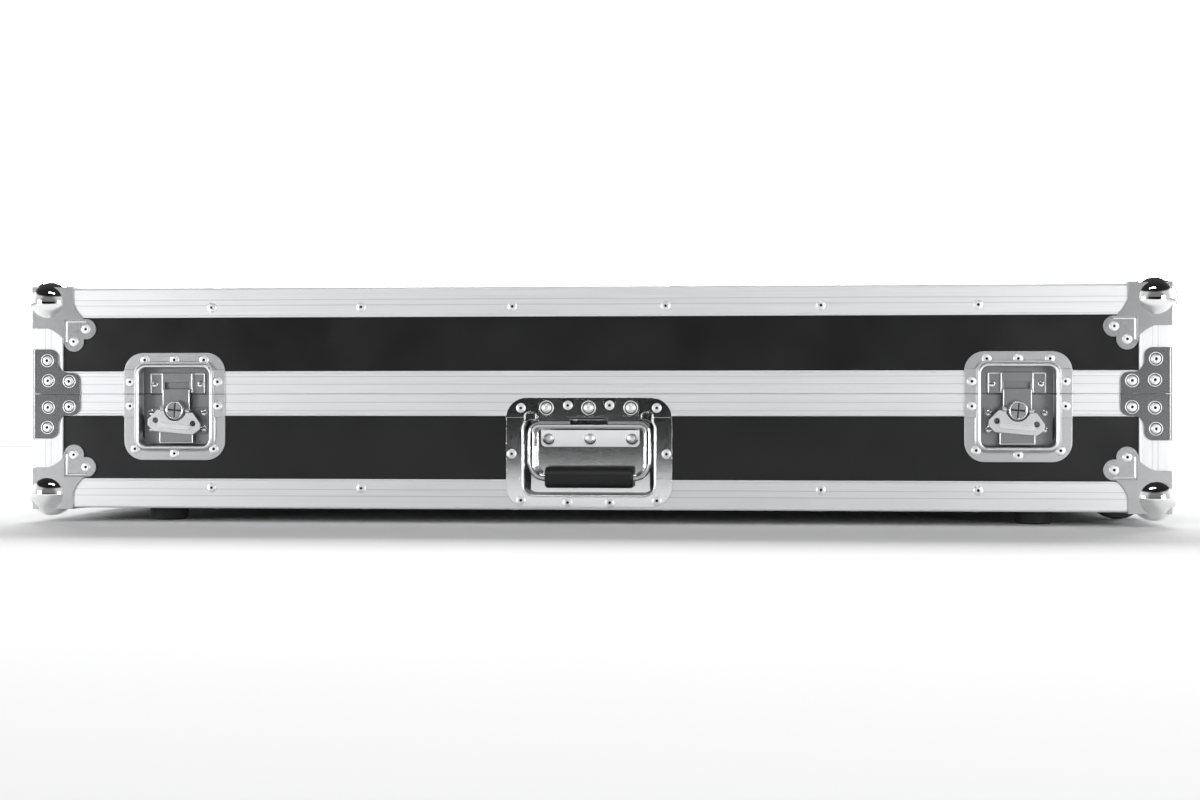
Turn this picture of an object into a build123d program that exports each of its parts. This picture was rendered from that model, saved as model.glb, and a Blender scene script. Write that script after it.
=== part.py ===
"""A road case for a synthesizer: laminated plywood boxes edged in aluminium angle, with ball corners,
two recessed turn latches, sprung handles, rubber feet and two edge wheels, and a lid hinged at the back.

Millimetres. +X is to the right as the front is seen, +Y goes in from the front to the back, +Z is up.
The origin is on the floor, midway between the ends and between front and back.
"""

import os
from math import cos, dist, pi, radians, sin, sqrt, tan

from build123d import *

os.makedirs("parts", exist_ok=True)

# Shell, over the outer faces of the aluminium
body_length = 1171.0
body_depth = 420.0
base_height = 119.3
lid_height = 110.7
ground_gap = 15.0
seam_gap = 0.6

# Boards and aluminium sections
panel_t = 7.0
edge_t = 2.0
edge_leg = 31.0
edge_round = 2.5
rim_inner_t = 1.5
rim_inner_leg = 16.0
rim_head = 6.5
base_rim_face = 22.5
lid_rim_face = 23.5
groove_start = 3.6
groove_width = 4.6
groove_depth = 4.2
tongue_start = 4.0
tongue_width = 3.2
tongue_height = 3.6
tongue_draft = 0.5

# Pressed steel corners
sheet_t = 1.5
ball_r = 23.0
ball_inset = 14.0
corner_leg = 42.0
corner_waist = 15.4
corner_curve = (46.6, 24.4)
lobe_start = (54.0, 32.2)
lobe_place = (55.6, 42.6)
lobe_r = 10.6
valley = 52.0
step_play = 0.2
brace_arm = 49.5
brace_drop = 46.5
brace_arm_width = 22.0
brace_drop_width = 26.0
brace_bend = 11.0
brace_round = 9.0

# Foam lining
floor_foam = 15.0
top_foam = 15.0
front_foam = 18.0
rear_foam = 15.0
left_foam = 24.0
right_foam = 58.0
foam_play = 1.0
foam_joint = 0.4

# Feet
foot_end_inset = 127.5
foot_side_inset = 58.0
foot_top_r = 21.0
foot_bottom_r = 19.0
foot_chamfer = 1.8
foot_bore_r = 2.6
foot_sink_r = 7.0
foot_sink_depth = 9.0
screw_shank_r = 2.5
screw_seat = 0.02
screw_head_r = 5.5
screw_head_t = 3.0

# Edge wheels
wheel_r = 31.0
wheel_width = 24.0
wheel_end_inset = 30.0
wheel_lift = 17.0
wheel_y = 80.0
wheel_hub_r = 17.0
wheel_dish = 3.0
tread_chamfer = 2.4
axle_r = 4.0
axle_fit = 0.1
axle_seat = 0.02
well_play = 2.5
well_side_play = 1.5
well_flange = 12.0

# Recessed dishes, shared by latches and handles
dish_t = 1.2
lip_width = 2.4
lip_rise = 0.9
cut_play = 1.5

# Latches
latch_inset = 150.5
latch_width = 107.5
latch_above = 43.0
latch_below = 69.0
latch_corner = 20.0
latch_bay_width = 79.4
latch_bay_above = 31.4
latch_bay_below = 55.0
latch_bay_corner = 9.0
latch_bay_depth = 14.0
latch_draft = 10.0
cam_drop = 16.8
cam_throw = 3.0
cam_r = 7.0
cam_play = 0.8
stack_play = 0.3
cam_shaft_r = 3.6
cam_fit = 0.1
mount_t = 1.5
mount_half = 33.0
mount_above_cam = 2.5
mount_below_cam = 25.5
mount_corner = 7.0
hook_t = 1.8
hook_half = 14.4
hook_foot_half = 17.4
hook_top = 5.2
hook_foot_top = -31.0
hook_foot_low = -51.0
hook_gap = 3.5
hook_lip = 1.1
hook_lip_t = 1.8
hook_foot_r = 2.0
keeper_t = 1.4
keeper_half = 16.4
keeper_tab_half = 29.5
keeper_top = 22.0
keeper_bottom = 1.0
keeper_bar_top = 3.1
keeper_window_top = 12.4
keeper_reach = 3.6
keeper_corner = 3.0
head_r = 9.2
head_rise = 3.6
head_slot_r = 7.4
head_slot_w = 2.0
head_slot_depth = 1.2
collar_r = 10.4
wing_t = 1.4
wing_gap = 2.4
wing_notch_r = 11.0
wing_shoulder = 16.0
wing_half = 28.0
wing_cheek = 12.0
wing_cheek_low = 18.0
wing_foot_half = 21.0
wing_low = 24.0
wing_top = 2.4
wing_hole_r = 3.0
wing_hole_u = 20.0
wing_hole_w = 12.5
wing_pin_r = 1.2
wing_pin_fit = 0.1
wing_knuckle_r = 2.3
wing_side_play = 0.4
wing_pin_half = 15.5
rest_turn = 5.0

# Sprung handles
handle_width = 171.0
handle_low = 3.0
handle_seam_gap = 4.0
handle_corner = 21.5
handle_bay_width = 134.0
handle_bay_low = 15.5
handle_bay_seam_gap = 26.3
handle_bay_corner = 10.0
handle_bay_depth = 21.5
handle_draft = 4.0
pivot_below_bay = 6.0
pivot_sink = 8.0
bail_r = 4.0
bail_arm_play = 3.0
grip_above_bay = 17.7
bail_bend = 14.0
bail_ear_bend = 8.0
bail_pin_length = 8.0
bail_fit = 0.1
barrel_r = 5.2
barrel_end_play = 0.5
barrel_window_half = 19.5
barrel_window_low = 0.5
lip_play = 0.1
grip_fit = 0.05
grip_r = 11.0
grip_end_play = 0.5
grip_chamfer = 1.6
tab_drop = 22.7
tab_corner = 5.0
strap_above_bay = 2.5
strap_edge_gap = 1.5
hood_half = 6.8
hood_reach = 8.2
hood_rise = 2.4
hood_corner = 5.2
hood_chamfer = 1.6
strap_notch_u = 21.5
strap_notch_r = 6.2
strap_notch_drop = 6.8
spring_wire_r = 1.1
spring_turns = 8
spring_pitch = 4.0
spring_bore_play = 0.5
spring_wire_sides = 6

# Hinges
hinge_inset = 195.5
hinge_width = 62.0
leaf_t = 2.0
leaf_reach = 20.0
knuckle_r = 3.5
pin_r = 2.0
pin_fit = 0.1
knuckle_gap = 0.4

# Places that follow from the sizes above
half_x = body_length / 2
half_y = body_depth / 2
base_bottom = ground_gap
seam = base_bottom + base_height
lid_top = seam + lid_height
base_seam = seam - seam_gap / 2
lid_seam = seam + seam_gap / 2
board_x = half_x - edge_t
board_y = half_y - edge_t
inner_x = board_x - panel_t
inner_y = board_y - panel_t
rim_depth = edge_t + panel_t + rim_inner_t
latch_x = half_x - latch_inset
hinge_x = half_x - hinge_inset
foot_x = half_x - foot_end_inset
foot_y = half_y - foot_side_inset
wheel_x = half_x - wheel_end_inset
wheel_z = base_bottom + wheel_lift
well_r = wheel_r + well_play
well_half = wheel_width / 2 + well_side_play
handle_high = base_height - handle_seam_gap
handle_bay_high = base_height - handle_bay_seam_gap
pivot_high = handle_bay_high - pivot_below_bay
pivot_z = base_bottom + pivot_high
bail_drop = pivot_high - handle_bay_low - grip_above_bay
tab_low = pivot_high - tab_drop
strap_low = handle_bay_high + strap_above_bay
strap_high = handle_high - strap_edge_gap
strap_notch_high = strap_high - strap_notch_drop
hood_high = handle_bay_high + hood_reach
cam_z = seam - cam_drop
bail_half = handle_bay_width / 2 - bail_arm_play - bail_r
bail_ear = bail_half - bail_ear_bend
barrel_half = bail_ear - barrel_end_play

# Depths in a latch, counted outward from the board's face
latch_floor = edge_t + dish_t - latch_bay_depth
mount_face = latch_floor + mount_t
hook_back = mount_face + hook_gap
hook_face = hook_back + hook_t
wing_back = hook_face + wing_gap
wing_face = wing_back + wing_t
head_face = wing_face + head_rise - wing_t
keeper_face = latch_floor + keeper_reach

# Planes on the outer faces of the boards: x runs to the right as the face is seen, y is up, z is outward
front_face = Plane(origin=(0, -board_y, 0), x_dir=(1, 0, 0), z_dir=(0, -1, 0))
left_face = Plane(origin=(-board_x, 0, 0), x_dir=(0, -1, 0), z_dir=(-1, 0, 0))

# Section planes of the four sides: x runs inward from the outer face, y is up
side_sections = {
    "front": (Plane(origin=(0, -half_y, 0), x_dir=(0, 1, 0), z_dir=(1, 0, 0)), half_x),
    "rear": (Plane(origin=(0, half_y, 0), x_dir=(0, -1, 0), z_dir=(-1, 0, 0)), half_x),
    "left": (Plane(origin=(-half_x, 0, 0), x_dir=(1, 0, 0), z_dir=(0, -1, 0)), half_y),
    "right": (Plane(origin=(half_x, 0, 0), x_dir=(-1, 0, 0), z_dir=(0, 1, 0)), half_y),
}


def write(piece, label):
    """Label a finished piece and write it."""
    piece.label = label
    export_step(piece, f"parts/{label}.step")


def outline(*points):
    """A closed face through the given points."""
    Polygon(*points, align=None)


def slab(low, high, mode=Mode.ADD):
    """A plain block between two opposite corners."""
    centre = tuple((a + b) / 2 for a, b in zip(low, high))
    size = tuple(b - a for a, b in zip(low, high))
    with Locations(centre):
        Box(*size, mode=mode)


# Aluminium sections, each cut at 45 degrees where it meets the next


def mitre(side, reach):
    """Plan outline of one side of the frame between its two mitres."""
    long_side = side in ("front", "rear")
    sign = -1 if side in ("front", "left") else 1
    near, far = (half_y, half_x) if long_side else (half_x, half_y)
    corners = [(-far, sign * near), (far, sign * near)]
    corners += [(far - reach, sign * (near - reach)), (reach - far, sign * (near - reach))]
    return corners if long_side else [(y, x) for x, y in corners]


def rail(side, points, reach, rounded=None):
    """One length of an aluminium section along a side of the case."""
    plane, half_length = side_sections[side]
    with BuildPart() as piece:
        with BuildSketch(plane) as section:
            outline(*points)
            if rounded:
                fillet(section.vertices().sort_by_distance((*rounded, 0))[0], edge_round)
        extrude(amount=half_length, both=True)
        with BuildSketch(Plane.XY):
            outline(*mitre(side, reach))
        extrude(amount=lid_top, mode=Mode.INTERSECT)
    return piece.part


def together(pieces):
    """Several pieces written as one."""
    return Compound(children=[solid for piece in pieces for solid in piece.solids()])


def angle_points(corner_z, up):
    """Section of an angle whose outer corner is at the given height, its wall going up (1) or down (-1)."""
    return [
        (0, corner_z),
        (edge_leg, corner_z),
        (edge_leg, corner_z + up * edge_t),
        (edge_t, corner_z + up * edge_t),
        (edge_t, corner_z + up * edge_leg),
        (0, corner_z + up * edge_leg),
    ]


def base_rim_points():
    """Section of the base's rim: a channel over the board's edge, with a groove for the lid's tongue."""
    groove_end = groove_start + groove_width
    return [
        (0, base_seam - base_rim_face),
        (0, base_seam),
        (groove_start, base_seam),
        (groove_start, base_seam - groove_depth),
        (groove_end, base_seam - groove_depth),
        (groove_end, base_seam),
        (rim_depth, base_seam),
        (rim_depth, base_seam - rim_inner_leg),
        (edge_t + panel_t, base_seam - rim_inner_leg),
        (edge_t + panel_t, base_seam - rim_head),
        (edge_t, base_seam - rim_head),
        (edge_t, base_seam - base_rim_face),
    ]


def lid_rim_points():
    """Section of the lid's rim: the same channel turned over, with a tapered tongue."""
    tongue_end = tongue_start + tongue_width
    return [
        (0, lid_seam + lid_rim_face),
        (0, lid_seam),
        (tongue_start, lid_seam),
        (tongue_start + tongue_draft, lid_seam - tongue_height),
        (tongue_end - tongue_draft, lid_seam - tongue_height),
        (tongue_end, lid_seam),
        (rim_depth, lid_seam),
        (rim_depth, lid_seam + rim_inner_leg),
        (edge_t + panel_t, lid_seam + rim_inner_leg),
        (edge_t + panel_t, lid_seam + rim_head),
        (edge_t, lid_seam + rim_head),
        (edge_t, lid_seam + lid_rim_face),
    ]


latch_cut_half = latch_bay_width / 2 + cut_play
latch_cut_low = seam - latch_bay_below - cut_play
latch_cut_high = seam + latch_bay_above + cut_play
handle_cut_half = handle_bay_width / 2 + cut_play


def latch_holes():
    """Blocks through the front wall where the latch dishes sink in."""
    for x in (-latch_x, latch_x):
        slab((x - latch_cut_half, -half_y - edge_t, latch_cut_low),
             (x + latch_cut_half, -inner_y + rim_depth, latch_cut_high), Mode.SUBTRACT)


def handle_hole(face, depth):
    """A block through a wall where a handle dish sinks in."""
    low = base_bottom + handle_bay_low - cut_play
    high = base_bottom + handle_bay_high + cut_play
    with BuildSketch(face.offset(edge_t + dish_t)) as opening:
        with Locations((0, (low + high) / 2)):
            Rectangle(2 * handle_cut_half, high - low)
    extrude(opening.sketch, amount=-(depth + edge_t + dish_t), mode=Mode.SUBTRACT)


def wheel_notches(low_x, high_z):
    """Blocks where the two wheel wells break through the right bottom edge."""
    for y in (-wheel_y, wheel_y):
        half = well_half + sheet_t
        slab((low_x, y - half, base_bottom - edge_t), (half_x + edge_t, y + half, high_z), Mode.SUBTRACT)


well_top = wheel_z + well_r + sheet_t
well_inner_x = wheel_x - well_r - sheet_t


def lower_edge(side):
    """One bottom edge angle."""
    return rail(side, angle_points(base_bottom, 1), edge_leg, (0, base_bottom))


def upper_edge(side):
    """One top edge angle."""
    return rail(side, angle_points(lid_top, -1), edge_leg, (0, lid_top))


def base_rim(side):
    """One rim of the base."""
    return rail(side, base_rim_points(), rim_depth)


def lid_rim(side):
    """One rim of the lid."""
    return rail(side, lid_rim_points(), rim_depth)


with BuildPart() as base_front_edge:
    add(lower_edge("front"))
    handle_hole(front_face, edge_t)
write(base_front_edge.part, "base_front_edge")
write(lower_edge("rear"), "base_rear_edge")

with BuildPart() as left_edge:
    add(lower_edge("left"))
    handle_hole(left_face, edge_t)
with BuildPart() as right_edge:
    add(lower_edge("right"))
    wheel_notches(well_inner_x, well_top)
write(together([left_edge.part, right_edge.part]), "base_end_edges")

write(upper_edge("front"), "lid_front_edge")
write(upper_edge("rear"), "lid_rear_edge")
write(together([upper_edge("left"), upper_edge("right")]), "lid_end_edges")

with BuildPart() as base_front_rim:
    add(base_rim("front"))
    latch_holes()
write(base_front_rim.part, "base_front_rim")
write(base_rim("rear"), "base_rear_rim")
write(together([base_rim("left"), base_rim("right")]), "base_end_rims")

with BuildPart() as lid_front_rim:
    add(lid_rim("front"))
    latch_holes()
write(lid_front_rim.part, "lid_front_rim")
write(lid_rim("rear"), "lid_rear_rim")
write(together([lid_rim("left"), lid_rim("right")]), "lid_end_rims")


def corner_posts(low, high):
    """Upright angles at the four corners, between the edge and the rim."""
    with BuildPart() as posts:
        with BuildSketch(Plane.XY.offset(low)) as section:
            with Locations((-half_x, -half_y)):
                outline((0, 0), (edge_leg, 0), (edge_leg, edge_t), (edge_t, edge_t), (edge_t, edge_leg),
                        (0, edge_leg))
            fillet(section.vertices().sort_by_distance((-half_x, -half_y, 0))[0], edge_round)
        extrude(amount=high - low)
        mirror(about=Plane.YZ)
        mirror(about=Plane.XZ)
    return posts.part


write(corner_posts(base_bottom + edge_leg, base_seam - base_rim_face), "base_corner_posts")
write(corner_posts(lid_seam + lid_rim_face, lid_top - edge_leg), "lid_corner_posts")

# Boards: a floor and a top of full size, front and back walls of full length, ends between them

floor_low = base_bottom + edge_t
floor_high = floor_low + panel_t
top_high = lid_top - edge_t
top_low = top_high - panel_t
base_wall_high = base_seam - rim_head
lid_wall_low = lid_seam + rim_head

with BuildPart() as floor_panel:
    slab((-board_x, -board_y, floor_low), (board_x, board_y, floor_high))
    wheel_notches(well_inner_x, well_top)
    with Locations(*[(x, y, floor_low) for x in (-foot_x, foot_x) for y in (-foot_y, foot_y)]):
        Cylinder(screw_shank_r, 2 * panel_t, mode=Mode.SUBTRACT)
write(floor_panel.part, "base_floor_panel")

with BuildPart() as base_front_panel:
    slab((-board_x, -board_y, floor_high), (board_x, -inner_y, base_wall_high))
    latch_holes()
    handle_hole(front_face, panel_t)
write(base_front_panel.part, "base_front_panel")

with BuildPart() as base_rear_panel:
    slab((-board_x, inner_y, floor_high), (board_x, board_y, base_wall_high))
write(base_rear_panel.part, "base_rear_panel")

with BuildPart() as base_left_panel:
    slab((-board_x, -inner_y, floor_high), (-inner_x, inner_y, base_wall_high))
    handle_hole(left_face, panel_t)
write(base_left_panel.part, "base_left_panel")

with BuildPart() as base_right_panel:
    slab((inner_x, -inner_y, floor_high), (board_x, inner_y, base_wall_high))
    wheel_notches(well_inner_x, well_top)
write(base_right_panel.part, "base_right_panel")

with BuildPart() as lid_top_panel:
    slab((-board_x, -board_y, top_low), (board_x, board_y, top_high))
write(lid_top_panel.part, "lid_top_panel")

with BuildPart() as lid_front_panel:
    slab((-board_x, -board_y, lid_wall_low), (board_x, -inner_y, top_low))
    latch_holes()
write(lid_front_panel.part, "lid_front_panel")

with BuildPart() as lid_rear_panel:
    slab((-board_x, inner_y, lid_wall_low), (board_x, board_y, top_low))
write(lid_rear_panel.part, "lid_rear_panel")

with BuildPart() as lid_end_panels:
    slab((-board_x, -inner_y, lid_wall_low), (-inner_x, inner_y, top_low))
    slab((inner_x, -inner_y, lid_wall_low), (board_x, inner_y, top_low))
write(lid_end_panels.part, "lid_end_panels")

# Foam lining, cut from board: thick strips beside the dishes, thin pads behind them, and end blocks

foam_front = front_foam - inner_y
foam_rear = inner_y - rear_foam
foam_left = left_foam - inner_x
foam_right = inner_x - right_foam
foam_base_high = base_seam - rim_inner_leg - foam_play
foam_lid_low = lid_seam + rim_inner_leg + foam_play
foam_ceiling = top_low - top_foam - foam_joint
latch_dish_back = edge_t - latch_bay_depth - foam_play
handle_dish_back = edge_t - handle_bay_depth - foam_play


def foam_board(low, high):
    """One block of foam between two opposite corners."""
    with BuildPart() as board:
        slab(low, high)
    return board.part


def front_foam_boards(start, end, low, high, hollows):
    """The front strips; hollows lists the middle, the half width and the back of each dish."""
    boards = []
    for middle, half, dish_back in hollows:
        boards.append(foam_board((start, -inner_y, low), (middle - half - foam_joint, foam_front, high)))
        boards.append(foam_board((middle - half, -board_y - dish_back, low),
                                 (middle + half, foam_front, high)))
        start = middle + half + foam_joint
    boards.append(foam_board((start, -inner_y, low), (end, foam_front, high)))
    return boards


left_latch, right_latch = [(x, latch_cut_half, latch_dish_back) for x in (-latch_x, latch_x)]
front_handle = (0, handle_cut_half, handle_dish_back)
base_start = foam_left + foam_joint
base_end = foam_right - foam_joint
base_boards = [
    foam_board((base_start, foam_front + foam_joint, floor_high),
               (base_end, foam_rear - foam_joint, floor_high + floor_foam)),
    foam_board((base_start, foam_rear, floor_high), (base_end, inner_y, foam_base_high)),
    foam_board((-board_x - handle_dish_back, -handle_cut_half, floor_high),
               (foam_left, handle_cut_half, foam_base_high)),
]
for near, far in ((-inner_y, -handle_cut_half - foam_joint), (handle_cut_half + foam_joint, inner_y)):
    base_boards.append(foam_board((-inner_x, near, floor_high), (foam_left, far, foam_base_high)))
base_boards += front_foam_boards(base_start, base_end, floor_high, foam_base_high,
                                 [left_latch, front_handle, right_latch])
with BuildPart() as wheel_block:
    slab((foam_right, -inner_y, floor_high), (inner_x, inner_y, foam_base_high))
    wheel_notches(well_inner_x - foam_play, well_top + foam_play)
base_boards.append(wheel_block.part)
write(together(base_boards), "base_foam")

lid_boards = [
    foam_board((-inner_x, -inner_y, foam_ceiling + foam_joint), (inner_x, inner_y, top_low)),
    foam_board((-inner_x, -inner_y, foam_lid_low), (foam_left, inner_y, foam_ceiling)),
    foam_board((-foam_left, -inner_y, foam_lid_low), (inner_x, inner_y, foam_ceiling)),
    foam_board((foam_left + foam_joint, foam_rear, foam_lid_low),
               (-foam_left - foam_joint, inner_y, foam_ceiling)),
]
lid_boards += front_foam_boards(foam_left + foam_joint, -foam_left - foam_joint, foam_lid_low,
                                foam_ceiling, [left_latch, right_latch])
write(together(lid_boards), "lid_foam")

# Ball corners: three legs over the edges, each with two lobes pressed down onto the board


def corner_leg_plate(plane):
    """One leg of a ball corner; the plane's x and y run inward along the face and z is outward."""
    x0, y0 = corner_leg, corner_waist
    with BuildPart() as plate:
        with BuildSketch(plane.offset(-edge_t)) as sheet:
            with BuildLine():
                Polyline((-sheet_t, -sheet_t), (x0, -sheet_t), (x0, y0))
                ThreePointArc((x0, y0), corner_curve, lobe_start)
                Polyline(lobe_start, (valley, valley), lobe_start[::-1])
                ThreePointArc(lobe_start[::-1], corner_curve[::-1], (y0, x0))
                Polyline((y0, x0), (-sheet_t, x0), (-sheet_t, -sheet_t))
            make_face()
            with Locations(lobe_place, lobe_place[::-1]):
                Circle(lobe_r)
        extrude(amount=edge_t + sheet_t)
        with BuildSketch(plane.offset(-edge_t)):
            Rectangle(4 * corner_leg, 4 * corner_leg)
            with Locations((edge_leg + step_play, edge_leg + step_play)):
                Rectangle(4 * corner_leg, 4 * corner_leg, align=Align.MIN, mode=Mode.SUBTRACT)
        extrude(amount=edge_t, mode=Mode.SUBTRACT)
        with BuildSketch(plane.offset(sheet_t - edge_t)):
            start = edge_leg + step_play + sheet_t
            with Locations((start, start)):
                Rectangle(4 * corner_leg, 4 * corner_leg, align=Align.MIN)
        extrude(amount=edge_t, mode=Mode.SUBTRACT)
    return plate.part


corner_planes = [
    Plane(origin=(0, 0, 0), x_dir=(0, 1, 0), z_dir=(0, 0, -1)),
    Plane(origin=(0, 0, 0), x_dir=(1, 0, 0), z_dir=(0, -1, 0)),
    Plane(origin=(0, 0, 0), x_dir=(0, 0, 1), z_dir=(-1, 0, 0)),
]
legs = [corner_leg_plate(plane) for plane in corner_planes]

with BuildPart() as ball:
    with Locations((ball_inset, ball_inset, ball_inset)):
        Sphere(ball_r)
    slab((0, 0, 0), (2 * ball_r, 2 * ball_r, 2 * ball_r), Mode.SUBTRACT)

with BuildPart() as corner_cap:
    add(legs)
    add(ball.part)


def four_corners(cap, z):
    """A corner piece at the front left, mirrored to all four corners."""
    with BuildPart() as corners:
        with Locations((-half_x, -half_y, z)):
            add(cap)
        mirror(about=Plane.YZ)
        mirror(about=Plane.XZ)
    return corners.part


write(four_corners(corner_cap.part, base_bottom), "base_ball_corners")
write(four_corners(corner_cap.part.mirror(Plane.XY), lid_top), "lid_ball_corners")

# Corner braces: angles wrapped round the upright edges beside the seam


def brace_plate(plane):
    """One side of a brace; the plane's x runs inward from the upright edge, y away from the seam."""
    with BuildPart() as plate:
        with BuildSketch(plane) as sheet:
            outline((-sheet_t, 0), (brace_arm, 0), (brace_arm, brace_arm_width),
                    (brace_drop_width, brace_arm_width), (brace_drop_width, brace_drop),
                    (-sheet_t, brace_drop))
            corners = sheet.vertices()
            fillet(corners.sort_by_distance((brace_drop_width, brace_arm_width, 0))[0], brace_bend)
            outer = [(brace_arm, brace_arm_width, 0), (brace_drop_width, brace_drop, 0)]
            for place in outer:
                fillet(sheet.vertices().sort_by_distance(place)[0], brace_round)
        extrude(amount=sheet_t)
    return plate.part


brace_sides = [
    brace_plate(Plane(origin=(0, 0, 0), x_dir=(1, 0, 0), z_dir=(0, -1, 0))),
    brace_plate(Plane(origin=(0, 0, 0), x_dir=(1, 0, 0), z_dir=(0, -1, 0))).mirror(
        Plane(origin=(0, 0, 0), x_dir=(1, 1, 0), z_dir=(1, -1, 0))),
]
with BuildPart() as lid_brace:
    add(brace_sides)
    fillet(lid_brace.edges().filter_by(Axis.Z).sort_by_distance((-sheet_t, -sheet_t, 0))[0],
           edge_round)

write(four_corners(lid_brace.part, lid_seam), "lid_corner_braces")
write(four_corners(lid_brace.part.mirror(Plane.XY), base_seam), "base_corner_braces")

# Feet

with BuildPart() as rubber_foot:
    with BuildSketch(Plane.XZ) as half_foot:
        outline((0, 0), (foot_bottom_r, 0), (foot_top_r, floor_low), (0, floor_low))
        chamfer(half_foot.vertices().sort_by_distance((foot_bottom_r, 0, 0))[0], foot_chamfer)
    revolve(axis=Axis.Z)
    with Locations((0, 0, 0)):
        Cylinder(foot_sink_r, foot_sink_depth, align=(Align.CENTER, Align.CENTER, Align.MIN),
                 mode=Mode.SUBTRACT)
        Cylinder(foot_bore_r, 2 * floor_low, mode=Mode.SUBTRACT)

with BuildPart() as foot_screw:
    with Locations((0, 0, foot_sink_depth - screw_head_t)):
        Cylinder(screw_head_r, screw_head_t, align=(Align.CENTER, Align.CENTER, Align.MIN))
        Cylinder(screw_shank_r - screw_seat, floor_high - foot_sink_depth + screw_head_t,
                 align=(Align.CENTER, Align.CENTER, Align.MIN))

foot_places = [(x, y, 0) for x in (-foot_x, foot_x) for y in (-foot_y, foot_y)]
with BuildPart() as rubber_feet:
    with Locations(*foot_places):
        add(rubber_foot.part)
write(rubber_feet.part, "rubber_feet")
with BuildPart() as foot_screws:
    with Locations(*foot_places):
        add(foot_screw.part)
write(foot_screws.part, "foot_screws")

# Edge wheels in pressed wells


def well_profile(radius, spread):
    """Side view of a well: a round back with straight walls out to the end and the underside."""
    past = 2 * radius
    with BuildSketch(Plane.XZ) as profile:
        with Locations((wheel_x, wheel_z)):
            Circle(radius)
            Rectangle(wheel_end_inset + spread, radius, align=Align.MIN)
            Rectangle(wheel_end_inset + spread, wheel_lift + spread, align=(Align.MIN, Align.MAX))
            Rectangle(radius, wheel_lift + spread, align=Align.MAX)
        with Locations((half_x + spread, wheel_z)):
            Rectangle(past, 2 * past, align=(Align.MIN, Align.CENTER), mode=Mode.SUBTRACT)
        with Locations((wheel_x, base_bottom - spread)):
            Rectangle(2 * past, past, align=(Align.CENTER, Align.MAX), mode=Mode.SUBTRACT)
    return profile.sketch


with BuildPart() as wheel_housing:
    extrude(well_profile(well_r + sheet_t, 0), amount=well_half + sheet_t, both=True)
    flange_half = well_half + sheet_t + well_flange
    slab((well_inner_x - well_flange, -flange_half, base_bottom - sheet_t),
         (half_x + sheet_t, flange_half, base_bottom))
    slab((half_x, -flange_half, base_bottom - sheet_t),
         (half_x + sheet_t, flange_half, well_top + well_flange))
    extrude(well_profile(well_r, 2 * sheet_t), amount=well_half, both=True, mode=Mode.SUBTRACT)
    with BuildSketch(Plane.XZ):
        with Locations((wheel_x, wheel_z)):
            Circle(axle_r)
    extrude(amount=2 * well_half, both=True, mode=Mode.SUBTRACT)

with BuildPart() as wheel_housings:
    with Locations((0, -wheel_y, 0), (0, wheel_y, 0)):
        add(wheel_housing.part)
write(wheel_housings.part, "wheel_housings")

with BuildPart() as wheel_axles:
    for y in (-wheel_y, wheel_y):
        with BuildSketch(Plane.XZ.offset(-y)):
            with Locations((wheel_x, wheel_z)):
                Circle(axle_r - axle_seat)
        extrude(amount=well_half + sheet_t, both=True)
write(wheel_axles.part, "wheel_axles")


def wheel_part(y, *points):
    """A ring turned about the axle line at the given depth; points are (radius, offset along the axle)."""
    axle_plane = Plane(origin=(wheel_x, y, wheel_z), x_dir=(1, 0, 0), z_dir=(0, 0, 1))
    with BuildPart() as ring:
        with BuildSketch(axle_plane):
            outline(*points)
        revolve(axis=Axis((wheel_x, y, wheel_z), (0, 1, 0)))
    return ring.part


tread = wheel_width / 2
shoulder = tread - tread_chamfer
hub_half = tread - wheel_dish
bore = axle_r + axle_fit
boss = (bore + wheel_hub_r) / 2
for side, y in (("front", -wheel_y), ("rear", wheel_y)):
    tyre = wheel_part(y, (wheel_hub_r, -tread), (wheel_r - tread_chamfer, -tread), (wheel_r, -shoulder),
                      (wheel_r, shoulder), (wheel_r - tread_chamfer, tread), (wheel_hub_r, tread))
    write(tyre, f"{side}_wheel_tyre")
    hub = wheel_part(y, (bore, -tread), (boss, -tread), (boss, -hub_half), (wheel_hub_r, -hub_half),
                     (wheel_hub_r, hub_half), (boss, hub_half), (boss, tread), (bore, tread))
    write(hub, f"{side}_wheel_hub")

# Recessed dishes

dish_face = edge_t + dish_t
lip_face = dish_face + lip_rise


def pan(face, bay, spread, top, bottom):
    """The space of a dish's drawn pan between two levels, with walls that lean in by the draft."""
    low, high, width, corner, draft = bay
    slope = tan(radians(draft))
    with BuildPart() as space:
        for level in (top, bottom):
            lean = slope * (dish_face - level)
            with BuildSketch(face.offset(level)):
                with Locations((0, (low + high) / 2)):
                    RectangleRounded(width + 2 * (spread - lean), high - low + 2 * (spread - lean),
                                     corner + spread)
        loft()
    return space.part


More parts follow.
